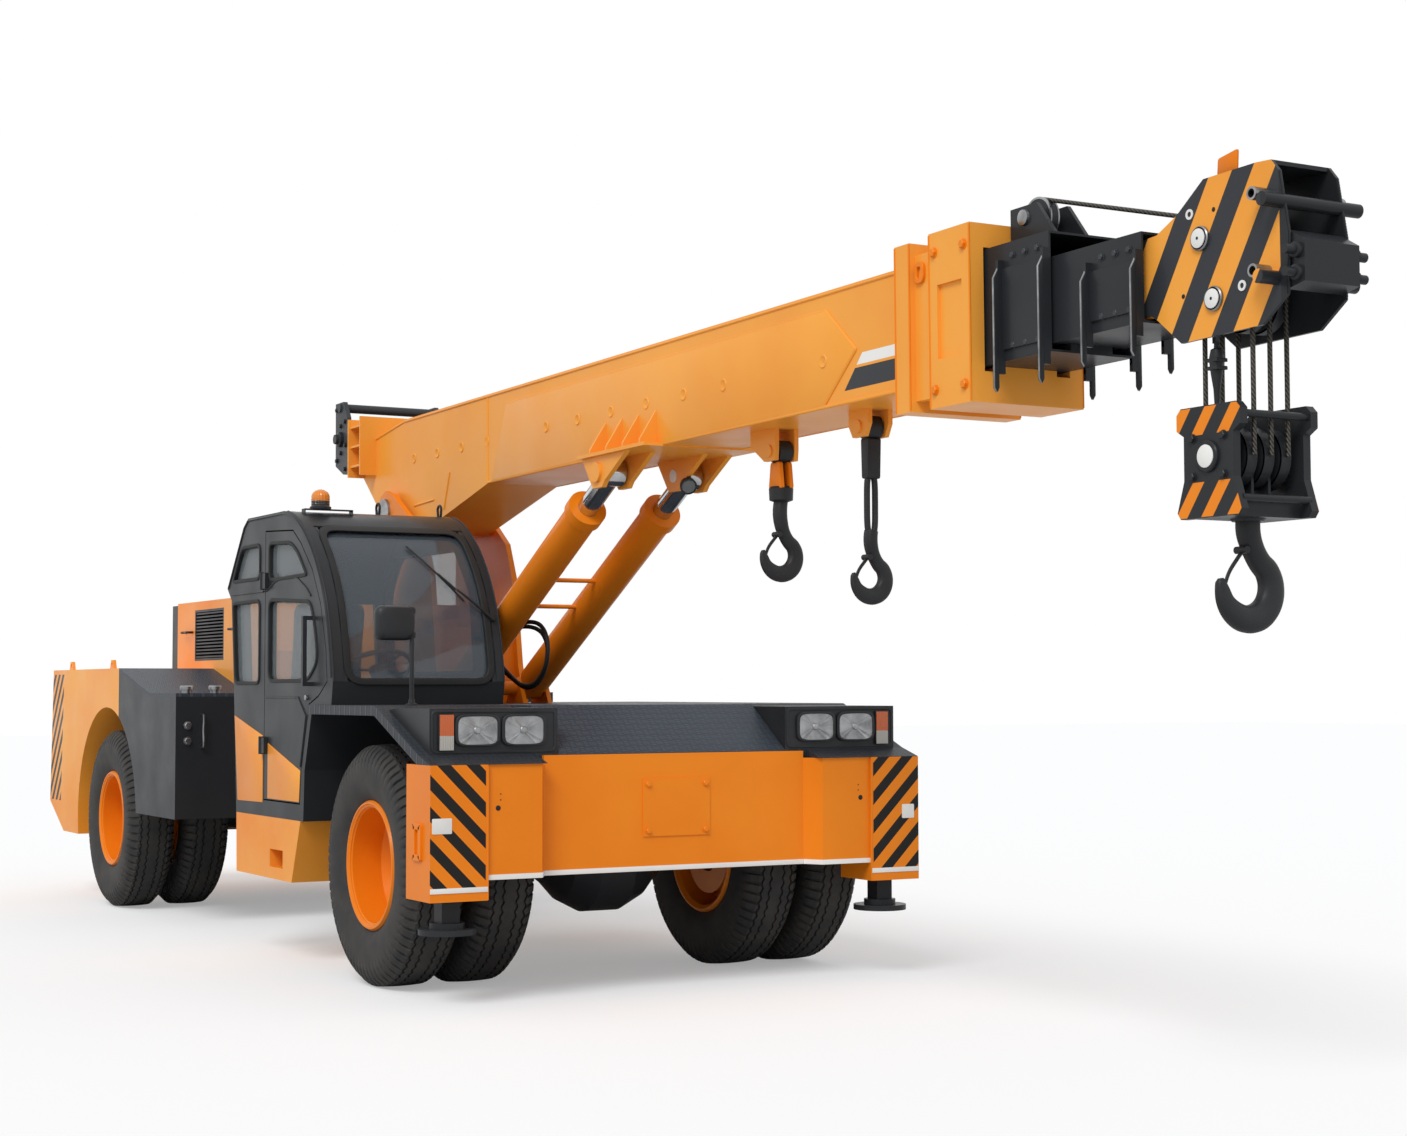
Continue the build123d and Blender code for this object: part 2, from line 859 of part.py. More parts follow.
# Feet of the lift cylinders: three ears on the deck and their pin
ram_eye_half = 55
ear_table = ((-ram_y - ram_eye_half - 30, -ram_y - ram_eye_half - 6), (ram_y + ram_eye_half + 6, ram_y + ram_eye_half + 30))
inner_ear = ram_y - ram_eye_half - 6
ear_outline = [
    (ram_foot_x - 110, deck_z),
    (ram_foot_x - 60, ram_foot_z + 20),
    (ram_foot_x - 25, ram_foot_z + 58),
    (ram_foot_x + 25, ram_foot_z + 58),
    (ram_foot_x + 60, ram_foot_z + 20),
    (ram_foot_x + 110, deck_z),
]
with BuildPart() as ram_feet:
    for y_low, y_high in ear_table + ((-inner_ear, -inner_ear + 24), (inner_ear - 24, inner_ear)):
        slab(ear_outline, y_low, y_high)
    cross_bar(ram_foot_x, ram_foot_z, ram_pin_radius, ear_table[0][0] - 8, ear_table[1][1] + 8)
ram_feet.part.label = "ram_feet"
export_step(ram_feet.part, "parts/ram_feet.step")

# Lift cylinders, drawn along the line from the foot pin to the head pin
ram_run = hypot(ram_head_x - ram_foot_x, ram_head_z - ram_foot_z)
ram_angle = atan2(ram_head_z - ram_foot_z, ram_head_x - ram_foot_x)
ram_axis = (cos(ram_angle), 0, sin(ram_angle))


def ram_plane(distance, y):
    """Plane square to a cylinder, at a distance from its foot pin."""
    return Plane(
        origin=(
            front_axle_x + ram_foot_x + distance * ram_axis[0],
            y,
            ram_foot_z + distance * ram_axis[2],
        ),
        x_dir=(0, 1, 0),
        z_dir=ram_axis,
    )


def ram_length(y, low, high, radius, mode=Mode.ADD):
    with BuildSketch(ram_plane(low, y)) as outline:
        Circle(radius)
    extrude(outline.sketch, amount=high - low, mode=mode)


with BuildPart() as lift_barrels:
    for y in (-ram_y, ram_y):
        ram_length(y, 0, 100, 46)
        ram_length(y, 90, barrel_length, barrel_radius)
        ram_length(y, barrel_length - 60, barrel_length, barrel_radius + 12)
        cross_bar(ram_foot_x, ram_foot_z, 58, y - ram_eye_half, y + ram_eye_half)
    # two pipes run across between the barrels
    for distance in (840, 1090):
        x = ram_foot_x + distance * ram_axis[0]
        z = ram_foot_z + distance * ram_axis[2]
        cross_bar(x, z, 11, barrel_bore + 6 - ram_y, ram_y - barrel_bore - 6)
    for y in (-ram_y, ram_y):
        ram_length(y, 130, barrel_length - 60, barrel_bore, Mode.SUBTRACT)
        ram_length(y, barrel_length - 61, barrel_length + 1, rod_radius + seat_gap, Mode.SUBTRACT)
        cross_bar(
            ram_foot_x,
            ram_foot_z,
            ram_pin_radius + seat_gap,
            y - ram_eye_half - 1,
            y + ram_eye_half + 1,
            Mode.SUBTRACT,
        )
lift_barrels.part.label = "lift_barrels"
export_step(lift_barrels.part, "parts/lift_barrels.step")

with BuildPart() as lift_rods:
    for y in (-ram_y, ram_y):
        ram_length(y, rod_inner_end, ram_run - 40, rod_radius)
        ram_length(y, rod_inner_end, rod_inner_end + 50, barrel_bore - seat_gap)
        cross_bar(ram_head_x, ram_head_z, 62, y - ram_head_half, y + ram_head_half)
        cross_bar(ram_head_x, ram_head_z, 30, y - ram_head_half - 5, y + ram_head_half + 5)
lift_rods.part.label = "lift_rods"
export_step(lift_rods.part, "parts/lift_rods.step")

# Boom base section: side outline with the deep root, hollow for section two
base_outline = [
    (-490, 245),
    (-355, 455),
    (155, base_high),
    (base_front, base_high),
    (base_front, base_low),
    (1300, base_low),
    (380, -144),
    (90, -125),
    (-60, -125),
    (-120, -60),
]
section_two_rear = 420
pad_gap = 0.3
ram_head_u, ram_head_v = along_boom(ram_head_x, ram_head_z)
swivel_u, swivel_v = along_boom(swivel_x, swivel_z)
link_u, link_v = along_boom(link_x, link_z)
# collar bands at the mouth: rear u, front u, bottom v, top v
collar_table = ((5130, 5225, -40, 585), (5350, base_front, -46, 594))
# lugs under the boom: rear u, front u, bore u, bore v, bore radius round the eye
lug_table = (
    (swivel_u - 155, swivel_u + 48, swivel_u, swivel_v),
    (link_u - 70, link_u + 70, link_u, link_v),
)
with BuildPart() as boom_base:
    slab(base_outline, -base_half, base_half, view=boom_view)
    # flanged frame at the root that the winch bolts to, with its gussets
    for u in (-490, -300):
        slab(
            [(u, 245), (u + 15, 245), (u + 15, 585), (u, 585)],
            -winch_half,
            winch_half,
            view=boom_view,
        )
    for v in (300, 415, 530):
        slab(
            [(-480, v), (-295, v), (-295, v + 12), (-480, v + 12)],
            -winch_half + 12,
            winch_half - 12,
            view=boom_view,
        )
    # collar at the mouth: two bands with cut lower corners and plates between them
    for rear, front, bottom, top in collar_table:
        slab(
            [(rear, bottom), (front, bottom), (front, top), (rear, top)],
            -collar_half,
            collar_half,
            view=boom_view,
        )
    for side in (-1, 1):
        edges = sorted((side * (base_half - 5), side * (base_half + 25)))
        slab([(5225, 0), (5350, 0), (5350, 540), (5225, 540)], edges[0], edges[1], view=boom_view)
        # shallow window in the front band's side
        edges = sorted((side * (collar_half - 14), side * (collar_half + 1)))
        slab([(5400, 130), (5550, 130), (5550, 400), (5400, 400)], edges[0], edges[1], Mode.SUBTRACT, boom_view)
    # bracket over the lift cylinders: a shelf, four ears and a row of gussets
    slab(
        [
            (ram_head_u - 170, base_low - 7),
            (ram_head_u + 500, base_low - 7),
            (ram_head_u + 500, base_low + 9),
            (ram_head_u - 170, base_low + 9),
        ],
        -bracket_half,
        bracket_half,
        view=boom_view,
    )
    for side in (-1, 1):
        for inner, outer in bracket_ears:
            edges = sorted((side * inner, side * outer))
            slab(
                [
                    (ram_head_u - 165, base_low),
                    (ram_head_u - 70, ram_head_v - 45),
                    (ram_head_u - 45, ram_head_v - 72),
                    (ram_head_u + 45, ram_head_v - 72),
                    (ram_head_u + 70, ram_head_v - 45),
                    (ram_head_u + 300, base_low),
                ],
                edges[0],
                edges[1],
                view=boom_view,
            )
        for step in range(4):
            u = ram_head_u - 60 + 165 * step
            with BuildSketch(boom_square(u)):
                with BuildLine():
                    Polyline(
                        (side * (base_half - 5), base_low),
                        (side * (bracket_half - 8), base_low),
                        (side * (bracket_half - 8), base_low + 25),
                        (side * (base_half - 5), base_low + 180),
                        close=True,
                    )
                make_face()
            extrude(amount=14)
        # round cap on the head pin's outer end
        edges = sorted((side * (bracket_ears[1][1]), side * (bracket_ears[1][1] + 14)))
        cross_bar(ram_head_u, ram_head_v, 46, edges[0], edges[1], view=boom_view)
    # lugs for the two hooks under the boom, each with its pin
    for rear, front, u, v in lug_table:
        for side in (-1, 1):
            edges = sorted((side * lug_y[0], side * lug_y[1]))
            slab(
                [
                    (rear, base_low + 1),
                    (rear, base_low - 60),
                    (u - 42, v - 40),
                    (u + 42, v - 40),
                    (front, v + 10),
                    (front, base_low + 1),
                ],
                edges[0],
                edges[1],
                view=boom_view,
            )
        cross_bar(u, v, hook_pin_radius, -lug_y[1] - 8, lug_y[1] + 8, view=boom_view)
    # hollow for section two, with wear pads at the mouth
    slab(
        [
            (section_two_rear - 60, base_low + base_wall),
            (base_front + 1, base_low + base_wall),
            (base_front + 1, base_high - base_wall),
            (section_two_rear - 60, base_high - base_wall),
        ],
        base_wall - base_half,
        base_half - base_wall,
        Mode.SUBTRACT,
        boom_view,
    )
    slab(
        [
            (base_front - 200, base_low + base_wall - 1),
            (base_front, base_low + base_wall - 1),
            (base_front, section_two_low - pad_gap),
            (base_front - 200, section_two_low - pad_gap),
        ],
        -130,
        130,
        view=boom_view,
    )
    # hub on the lift pin
    cross_bar(0, 0, 108, -mast_inner_y + running_gap, mast_inner_y - running_gap, view=boom_view)
    cross_bar(0, 0, lift_pin_radius + seat_gap, -300, 300, Mode.SUBTRACT, boom_view)
boom_base.part.label = "boom_base"
export_step(boom_base.part, "parts/boom_base.step")

# Inner sections: name, half width, low, high, rear, front, wear pads at the front and the rear
section_table = (
    (
        "boom_section_two",
        section_two_half,
        section_two_low,
        section_two_high,
        section_two_rear,
        section_two_front,
        section_three_low,
        base_high - base_wall,
    ),
    (
        "boom_section_three",
        section_three_half,
        section_three_low,
        section_three_high,
        520,
        section_three_front,
        section_four_low,
        section_two_high - section_wall,
    ),
)
for name, half, low, high, rear, front, next_low, roof in section_table:
    with BuildPart() as section:
        slab([(rear, low), (front, low), (front, high), (rear, high)], -half, half, view=boom_view)
        # straps and a band round the front end
        for side in (-1, 1):
            edges = sorted((side * (half - 2), side * (half + strap_depth)))
            for u in (front - strap_length, front - 16):
                slab(
                    [(u, low - 45), (u + 16, low - 45), (u + 16, high - 60), (u, high - 60)],
                    edges[0],
                    edges[1],
                    view=boom_view,
                )
            edges = sorted((side * (half - 2), side * (half + 8)))
            slab(
                [
                    (front - strap_length, low + 40),
                    (front, low + 40),
                    (front, high - 90),
                    (front - strap_length, high - 90),
                ],
                edges[0],
                edges[1],
                view=boom_view,
            )
        slab(
            [
                (rear - 1, low + section_wall),
                (front + 1, low + section_wall),
                (front + 1, high - section_wall),
                (rear - 1, high - section_wall),
            ],
            section_wall - half,
            half - section_wall,
            Mode.SUBTRACT,
            boom_view,
        )
        # pads: one on the floor at the front, one on the roof at the rear
        slab(
            [
                (front - 150, low + section_wall - 1),
                (front, low + section_wall - 1),
                (front, next_low - pad_gap),
                (front - 150, next_low - pad_gap),
            ],
            -90,
            90,
            view=boom_view,
        )
        slab(
            [(rear, high - 1), (rear + 150, high - 1), (rear + 150, roof - pad_gap), (rear, roof - pad_gap)],
            -90,
            90,
            view=boom_view,
        )
        if name == "boom_section_two":
            # bracket on top with its rope sheave, and the ear that hangs below
            for side in (-1, 1):
                edges = sorted((side * 60, side * 76))
                slab(
                    [
                        (top_sheave_u - 80, high - 1),
                        (top_sheave_u + 190, high - 1),
                        (top_sheave_u + 70, top_sheave_v + 42),
                        (top_sheave_u - 80, top_sheave_v + 42),
                    ],
                    edges[0],
                    edges[1],
                    view=boom_view,
                )
            cross_bar(top_sheave_u, top_sheave_v, 24, -84, 84, view=boom_view)
            cross_bar(top_sheave_u, top_sheave_v, top_sheave_radius, -18, 18, view=boom_view)
    section.part.label = name
    export_step(section.part, f"parts/{name}.step")

# Section four carries the head: side plates, a top plate and a nose
head_outline = [
    along_boom(x, z)
    for x, z in (
        (4184, 2815),
        (4294, 2823),
        (4391, 2870),
        (4518, 2963),
        (4753, 2968),
        (4821, 2964),
        (4852, 2927),
        (4890, 2728),
        (4882, 2543),
        (4775, 2465),
        (4407, 2456),
        (4293, 2547),
        (4266, 2563),
        (4184, 2563),
    )
]
head_top = [along_boom(x, z) for x, z in ((4510, 2951), (4510, 2963), (4821, 2964), (4821, 2951))]
head_nose = [along_boom(x, z) for x, z in ((4870, 2560), (4945, 2575), (4945, 2700), (4876, 2740))]
with BuildPart() as boom_section_four:
    slab(
        [
            (620, section_four_low),
            (6420, section_four_low),
            (6450, section_four_low + 18),
            (6450, section_four_high),
            (620, section_four_high),
        ],
        -section_four_half,
        section_four_half,
        view=boom_view,
    )
    slab(
        [
            (619, section_four_low + section_wall),
            (6390, section_four_low + section_wall),
            (6438, section_four_low + 36),
            (6438, section_four_high - section_wall),
            (619, section_four_high - section_wall),
        ],
        section_wall - section_four_half,
        section_four_half - section_wall,
        Mode.SUBTRACT,
        boom_view,
    )
    slab(
        [
            (620, section_four_high - 1),
            (770, section_four_high - 1),
            (770, section_three_high - section_wall - pad_gap),
            (620, section_three_high - section_wall - pad_gap),
        ],
        -70,
        70,
        view=boom_view,
    )
    for side in (-1, 1):
        edges = sorted((side * section_four_half, side * (section_four_half + head_plate)))
        slab(head_outline, edges[0], edges[1], view=boom_view)
        # caps on the ends of the two sheave pins
        edges = sorted((side * (section_four_half + head_plate), side * (section_four_half + head_plate + 12)))
        for u, v in (pin_high, pin_low):
            cross_bar(u, v, 36, edges[0], edges[1], view=boom_view)
    slab(head_top, -section_four_half, section_four_half, view=boom_view)
    slab(head_nose, -section_four_half, section_four_half, view=boom_view)
    # tubes across the head that keep the ropes in their grooves
    for x, z in ((4857, 2830), (4838, 2598)):
        u, v = along_boom(x, z)
        cross_bar(u, v, 22, -200, 200, view=boom_view)
boom_section_four.part.label = "boom_section_four"
export_step(boom_section_four.part, "parts/boom_section_four.step")

# Head sheaves on their two pins
with BuildPart() as head_sheaves:
    for (u, v), radius in ((pin_high, 92), (pin_low, sheave_radius)):
        cross_bar(u, v, 30, -section_four_half + seat_gap, section_four_half - seat_gap, view=boom_view)
        for y in (-rope_pitch, 0, rope_pitch):
            cross_bar(u, v, radius, y - 20, y + 20, view=boom_view)
head_sheaves.part.label = "head_sheaves"
export_step(head_sheaves.part, "parts/head_sheaves.step")

# Winch: cheeks behind the root, a foot plate, a bar across the top and the motor
with BuildPart() as winch_frame:
    slab([(-502, 270), (-490, 270), (-490, 580), (-502, 580)], -winch_half, winch_half, view=boom_view)
    for side in (-1, 1):
        edges = sorted((side * (winch_half - 25), side * winch_half))
        slab(
            [(-690, 330), (-560, 270), (-495, 270), (-495, 600), (-560, 700), (-690, 700)],
            edges[0],
            edges[1],
            view=boom_view,
        )
    cross_bar(-610, 668, 26, -winch_half - 10, winch_half + 10, view=boom_view)
    cross_bar(drum_u, drum_v, 75, winch_half, winch_half + 110, view=boom_view)
    cross_bar(drum_u, drum_v, 40 + seat_gap, -winch_half - 1, winch_half - 12, Mode.SUBTRACT, boom_view)
winch_frame.part.label = "winch_frame"
export_step(winch_frame.part, "parts/winch_frame.step")

with BuildPart() as winch_drum:
    inner = winch_half - 25 - running_gap
    cross_bar(drum_u, drum_v, 40, -winch_half + 2, winch_half - 12 - seat_gap, view=boom_view)
    cross_bar(drum_u, drum_v, 62, -inner, inner, view=boom_view)
    for y in (-inner, inner - 16):
        cross_bar(drum_u, drum_v, drum_flange, y, y + 16, view=boom_view)
winch_drum.part.label = "winch_drum"
export_step(winch_drum.part, "parts/winch_drum.step")

# Hook block: cheeks flared at top and bottom, a cross box below and three sheaves
with BuildPart() as hook_block:
    for side in (-1, 1):
        edges = sorted((side * block_half, side * (block_half - 30)))
        slab(
            [
                (block_x - 130, block_low),
                (block_x + 130, block_low),
                (block_x + 145, block_low + 20),
                (block_x + 112, block_low + 120),
                (block_x + 112, block_high - 90),
                (block_x + 145, block_high - 70),
                (block_x + 145, block_high - 20),
                (block_x + 125, block_high),
                (block_x - 125, block_high),
                (block_x - 145, block_high - 20),
                (block_x - 145, block_high - 70),
                (block_x - 112, block_high - 90),
                (block_x - 112, block_low + 120),
                (block_x - 145, block_low + 20),
            ],
            edges[0],
            edges[1],
        )
        edges = sorted((side * block_half, side * (block_half + 10)))
        cross_bar(block_x, block_pin_z, 34, edges[0], edges[1])
    block((block_x - 95, block_x + 95), (-block_half + 30, block_half - 30), (block_low, block_low + 52))
    # divider plates keep each rope in its sheave
    for y in (-rope_pitch / 2, rope_pitch / 2):
        block((block_x - 60, block_x + 60), (y - 5, y + 5), (block_low + 52, block_high - 50))
    cross_bar(block_x, block_pin_z, 28, -block_half, block_half)
    for y in (-rope_pitch, 0, rope_pitch):
        cross_bar(block_x, block_pin_z, sheave_radius, y - 20, y + 20)
hook_block.part.label = "hook_block"
export_step(hook_block.part, "parts/hook_block.step")


def hook_shape(x, bowl_z, outer, bowl, thickness, shank_top, shank_half):
    """A cast hook in the plane across the crane, open to the right."""
    with BuildSketch(front_view(x - thickness / 2)) as outline:
        with Locations((0, bowl_z)):
            Circle(outer)
        with BuildLine():
            Polyline(
                (-shank_half, bowl_z),
                (shank_half, bowl_z),
                (shank_half, shank_top),
                (-shank_half, shank_top),
                close=True,
            )
        make_face()
        with Locations((-0.08 * outer, bowl_z + 0.08 * outer)):
            Circle(bowl, mode=Mode.SUBTRACT)
        with BuildLine():
            Polyline(
                (-0.08 * outer, bowl_z),
                (-1.1 * outer, bowl_z + 0.15 * outer),
                (-1.1 * outer, bowl_z + 1.2 * outer),
                (-shank_half, bowl_z + 1.2 * outer),
                (-shank_half, bowl_z + 0.4 * outer),
                close=True,
            )
        make_face(mode=Mode.SUBTRACT)
    extrude(outline.sketch, amount=thickness)


with BuildPart() as main_hook:
    hook_shape(block_x, 1667, 136, 66, 62, block_low, 36)
main_hook.part.label = "main_hook"
export_step(main_hook.part, "parts/main_hook.step")

# Falls of rope from the head down to the block
with BuildPart() as hoist_ropes:
    for y in (-rope_pitch, 0, rope_pitch):
        for side in (-1, 1):
            x = block_x + side * (sheave_radius + rope_radius + seat_gap)
            upright(x, y, rope_radius, block_pin_z, head_pin_z)
hoist_ropes.part.label = "hoist_ropes"
export_step(hoist_ropes.part, "parts/hoist_ropes.step")

# The two hooks under the base section: eye, swivel or link, and hook
with BuildPart() as swivel_hook:
    cross_bar(swivel_x, swivel_z, 50, -hook_eye_half, hook_eye_half)
    block((swivel_x - 34, swivel_x + 34), (-hook_eye_half, hook_eye_half), (2210, swivel_z))
    upright(swivel_x, 0, 52, 2150, 2215)
    hook_shape(swivel_x, 1915, 105, 50, 46, 2160, 28)
    cross_bar(swivel_x, swivel_z, hook_pin_radius + seat_gap, -60, 60, Mode.SUBTRACT)
swivel_hook.part.label = "swivel_hook"
export_step(swivel_hook.part, "parts/swivel_hook.step")

with BuildPart() as link_hook:
    cross_bar(link_x, link_z, 48, -hook_eye_half, hook_eye_half)
    block((link_x - 28, link_x + 28), (-hook_eye_half, hook_eye_half), (2199, link_z))
    block((link_x - 14, link_x + 14), (-hook_eye_half, hook_eye_half), (1979, 2210))
    block((link_x - 30, link_x + 30), (-14, 14), (2010, 2180), Mode.SUBTRACT)
    hook_shape(link_x, 1790, 98, 46, 44, 1985, 26)
    cross_bar(link_x, link_z, hook_pin_radius + seat_gap, -60, 60, Mode.SUBTRACT)
link_hook.part.label = "link_hook"
export_step(link_hook.part, "parts/link_hook.step")

# Rear frame with the articulation tongue
rear_rail_half = 400
tongue_z = (fork_low_z + fork_plate + running_gap, fork_high_z - running_gap)
tongue_half = 150
with BuildPart() as rear_frame:
    for side in (-1, 1):
        edges = sorted((side * rear_rail_half, side * (rear_rail_half - frame_plate)))
        block((bay_rear_x, tank_front_x + 50), edges, (frame_low, 1100))
        saddle = sorted((side * (rear_rail_half - 55), side * rear_rail_half))
        block(
            (-wheelbase - 70, -wheelbase + 70),
            saddle,
            (tyre_radius + axle_tube_radius + seat_gap, frame_low),
        )
    for x in (tank_front_x, -3560, bay_rear_x):
        block((x, x + frame_plate), (-rear_rail_half, rear_rail_half), (frame_low, 1100))
    with BuildSketch(top_view(tongue_z[0])):
        with BuildLine():
            Polyline(
                (pivot_x, tongue_half),
                (tank_front_x, 300),
                (tank_front_x, -300),
                (pivot_x, -tongue_half),
            )
            ThreePointArc((pivot_x, -tongue_half), (pivot_x + tongue_half, 0), (pivot_x, tongue_half))
        make_face()
        with Locations((pivot_x, 0)):
            Circle(pivot_pin_radius + seat_gap, mode=Mode.SUBTRACT)
    extrude(amount=tongue_z[1] - tongue_z[0])
rear_frame.part.label = "rear_frame"
export_step(rear_frame.part, "parts/rear_frame.step")

# Tanks: the black boxes in front of the rear wheels
tank_outline = [
    (tank_front_x, tank_low),
    (tank_front_x, rear_deck_low - deck_plate),
    (-3550, rear_deck_low - deck_plate),
    (tank_rear_x, rear_deck_high - deck_plate),
    (tank_rear_x, tank_low),
]
for side, name in ((-1, "hydraulic_tank"), (1, "fuel_tank")):
    with BuildPart() as tank:
        edges = sorted((side * tank_inner_y, side * rear_half))
        slab(tank_outline, edges[0], edges[1])
        cross_bar(-wheelbase, tyre_radius, arch_radius, edges[0] - 1, edges[1] + 1, Mode.SUBTRACT)
    tank.part.label = name
    export_step(tank.part, f"parts/{name}.step")

hood_well = (bay_rear_x + 120, -3420)
with BuildPart() as rear_deck:
    slab(
        [
            (tank_front_x, rear_deck_low - deck_plate),
            (tank_front_x, rear_deck_low),
            (-3550, rear_deck_low),
            (tank_rear_x, rear_deck_high),
            (tank_rear_x, rear_deck_high - deck_plate),
            (-3550, rear_deck_low - deck_plate),
        ],
        -rear_half,
        rear_half,
    )
    block((tank_rear_x - 1, hood_well[1]), (-tank_inner_y, tank_inner_y), (1200, 1600), Mode.SUBTRACT)
rear_deck.part.label = "rear_deck"
export_step(rear_deck.part, "parts/rear_deck.step")

# Counterweight: solid tail with the wheel arches and the engine bay cut out
with BuildPart() as counterweight:
    slab(
        [
            (tank_rear_x, rear_deck_high),
            (-5930, rear_deck_high),
            (crane_rear_x, 610),
            (-5600, 420),
            (-5000, 420),
            (tank_rear_x, 700),
        ],
        -rear_half,
        rear_half,
    )
    for side in (-1, 1):
        edges = sorted((side * 480, side * (rear_half + 1)))
        cross_bar(-wheelbase, tyre_radius, arch_radius, edges[0], edges[1], Mode.SUBTRACT)
    block((bay_rear_x, tank_rear_x + 1), (-480, 480), (400, 1600), Mode.SUBTRACT)
    # lifting lugs
    for x in (-5650, -4600):
        for side in (-1, 1):
            y = sorted((side * 1130, side * 1150))
            slab([(x - 45, 1500), (x + 45, 1500), (x + 22, 1556), (x - 22, 1556)], y[0], y[1])
            cross_bar(x, 1528, 14, y[0] - 1, y[1] + 1, Mode.SUBTRACT)
counterweight.part.label = "counterweight"
export_step(counterweight.part, "parts/counterweight.step")

# Engine cover over the bay
hood_outline = [
    (hood_rear_x, rear_deck_high),
    (hood_rear_x, hood_high),
    (-3480, hood_high),
    (hood_front_x, 1600),
    (hood_front_x, rear_deck_low),
    (-3550, rear_deck_low),
    (tank_rear_x, rear_deck_high),
]
grille_x = (-4640, -4025)
grille_z = (1552, 1882)
with BuildPart() as engine_hood:
    slab(hood_outline, -hood_half, hood_half)
    slab(
        [
            (hood_rear_x - 1, rear_deck_high - 1),
            (hood_rear_x - 1, hood_high - hood_sheet),
            (-3490, hood_high - hood_sheet),
            (hood_front_x - hood_sheet, 1596),
            (hood_front_x - hood_sheet, rear_deck_low - 1),
            (-3550, rear_deck_low - 1),
            (tank_rear_x, rear_deck_high - 1),
        ],
        hood_sheet - hood_half,
        hood_half - hood_sheet,
        Mode.SUBTRACT,
    )
    block(grille_x, (-hood_half - 1, hood_half + 1), grille_z, Mode.SUBTRACT)
engine_hood.part.label = "engine_hood"
export_step(engine_hood.part, "parts/engine_hood.step")

# Louvred grilles in the hood's sides: a frame and a column of slats
slat_count = 14
with BuildPart() as hood_grilles:
    for side in (-1, 1):
        edges = sorted((side * (hood_half - hood_sheet), side * hood_half))
        block(
            (grille_x[0] + seat_gap, grille_x[1] - seat_gap),
            edges,
            (grille_z[0] + seat_gap, grille_z[1] - seat_gap),
        )
        block(
            (grille_x[0] + 15, grille_x[1] - 15),
            (edges[0] - 1, edges[1] + 1),
            (grille_z[0] + 15, grille_z[1] - 15),
            Mode.SUBTRACT,
        )
        pitch = (grille_z[1] - grille_z[0] - 30) / slat_count
        for row in range(slat_count):
            z = grille_z[0] + 15 + (row + 0.5) * pitch
            block((grille_x[0] + 10, grille_x[1] - 10), (edges[0] + 3, edges[1] - 3), (z - 5, z + 5))
hood_grilles.part.label = "hood_grilles"
export_step(hood_grilles.part, "parts/hood_grilles.step")

with BuildPart() as radiator_frame:
    block((bay_rear_x, hood_rear_x - seat_gap), (-hood_half, hood_half), (rear_deck_high, 1925))
    block((bay_rear_x - 1, hood_rear_x - 40), (-hood_half + 50, hood_half - 50), (rear_deck_high + 50, 1875), Mode.SUBTRACT)
    for y in range(-520, 521, 80):
        block((bay_rear_x + 10, bay_rear_x + 24), (y - 6, y + 6), (rear_deck_high + 40, 1885))
radiator_frame.part.label = "radiator_frame"
export_step(radiator_frame.part, "parts/radiator_frame.step")

with BuildPart() as engine:
    block((-4900, -3620), (-330, 330), (1100, 1700))
    block((-4900, -3620), (-rear_rail_half + frame_plate, rear_rail_half - frame_plate), (1000, 1100))
engine.part.label = "engine"
export_step(engine.part, "parts/engine.step")

print("nodes written:", len(os.listdir("parts")))
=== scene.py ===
import math

import bpy
import numpy as np
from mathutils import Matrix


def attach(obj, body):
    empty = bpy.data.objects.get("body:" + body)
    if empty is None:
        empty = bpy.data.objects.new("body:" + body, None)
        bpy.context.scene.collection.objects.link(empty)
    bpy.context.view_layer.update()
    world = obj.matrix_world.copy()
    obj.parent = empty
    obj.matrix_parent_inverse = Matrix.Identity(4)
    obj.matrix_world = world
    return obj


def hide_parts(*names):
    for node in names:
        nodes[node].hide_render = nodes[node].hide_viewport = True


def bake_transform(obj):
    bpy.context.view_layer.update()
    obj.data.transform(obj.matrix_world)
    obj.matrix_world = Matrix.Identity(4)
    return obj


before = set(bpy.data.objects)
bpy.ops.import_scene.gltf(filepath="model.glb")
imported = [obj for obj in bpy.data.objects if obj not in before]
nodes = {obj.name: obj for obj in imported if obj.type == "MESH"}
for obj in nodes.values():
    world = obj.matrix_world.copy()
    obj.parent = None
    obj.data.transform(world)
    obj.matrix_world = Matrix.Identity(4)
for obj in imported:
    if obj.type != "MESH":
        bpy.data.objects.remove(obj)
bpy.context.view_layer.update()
print("frame loaded:", len(nodes), "nodes")

# sizes shared by the pieces, in metres: X from the front axle, Y to the left, Z up
crane = {
    "axleX": 0.525,  # the front axle in the row frame
    "tyreRadius": 0.555,
    "rearAxleX": -4.52,
    "pivot": (-2.15, 2.36),  # the boom's lift pin, X and Z
    "tilt": math.radians(0.585),
    "cabRight": -1.22,
    "cabLeft": -0.33,
}


# shapes: a surface is its points and its faces, and rows of points run so that row direction times column direction faces out

def gridFaces(rows, columns, wrapRows):
    # joins each point of a grid to its neighbours, and the last row to the first where it wraps
    r = np.arange(rows if wrapRows else rows - 1)[:, None]
    c = np.arange(columns)[None, :]
    below, beside = (r + 1) % rows, (c + 1) % columns
    corners = (r * columns + c, below * columns + c, below * columns + beside, r * columns + beside)
    return np.stack([np.broadcast_to(k, (r.size, c.size)) for k in corners], -1).reshape(-1, 4)


def loft(rings, wrapRows=False):
    # rings of points, rows by columns by 3, joined one to the next: a flat face closes each end, unless the rows wrap
    rows, columns = rings.shape[:2]
    faces = [gridFaces(rows, columns, wrapRows)]
    if not wrapRows:
        faces.append(np.arange(columns)[None, :])
        faces.append((rows * columns - 1 - np.arange(columns))[None, :])
    return rings.reshape(-1, 3), faces


def unit(vectors):
    return vectors / np.linalg.norm(vectors, axis=-1, keepdims=True)


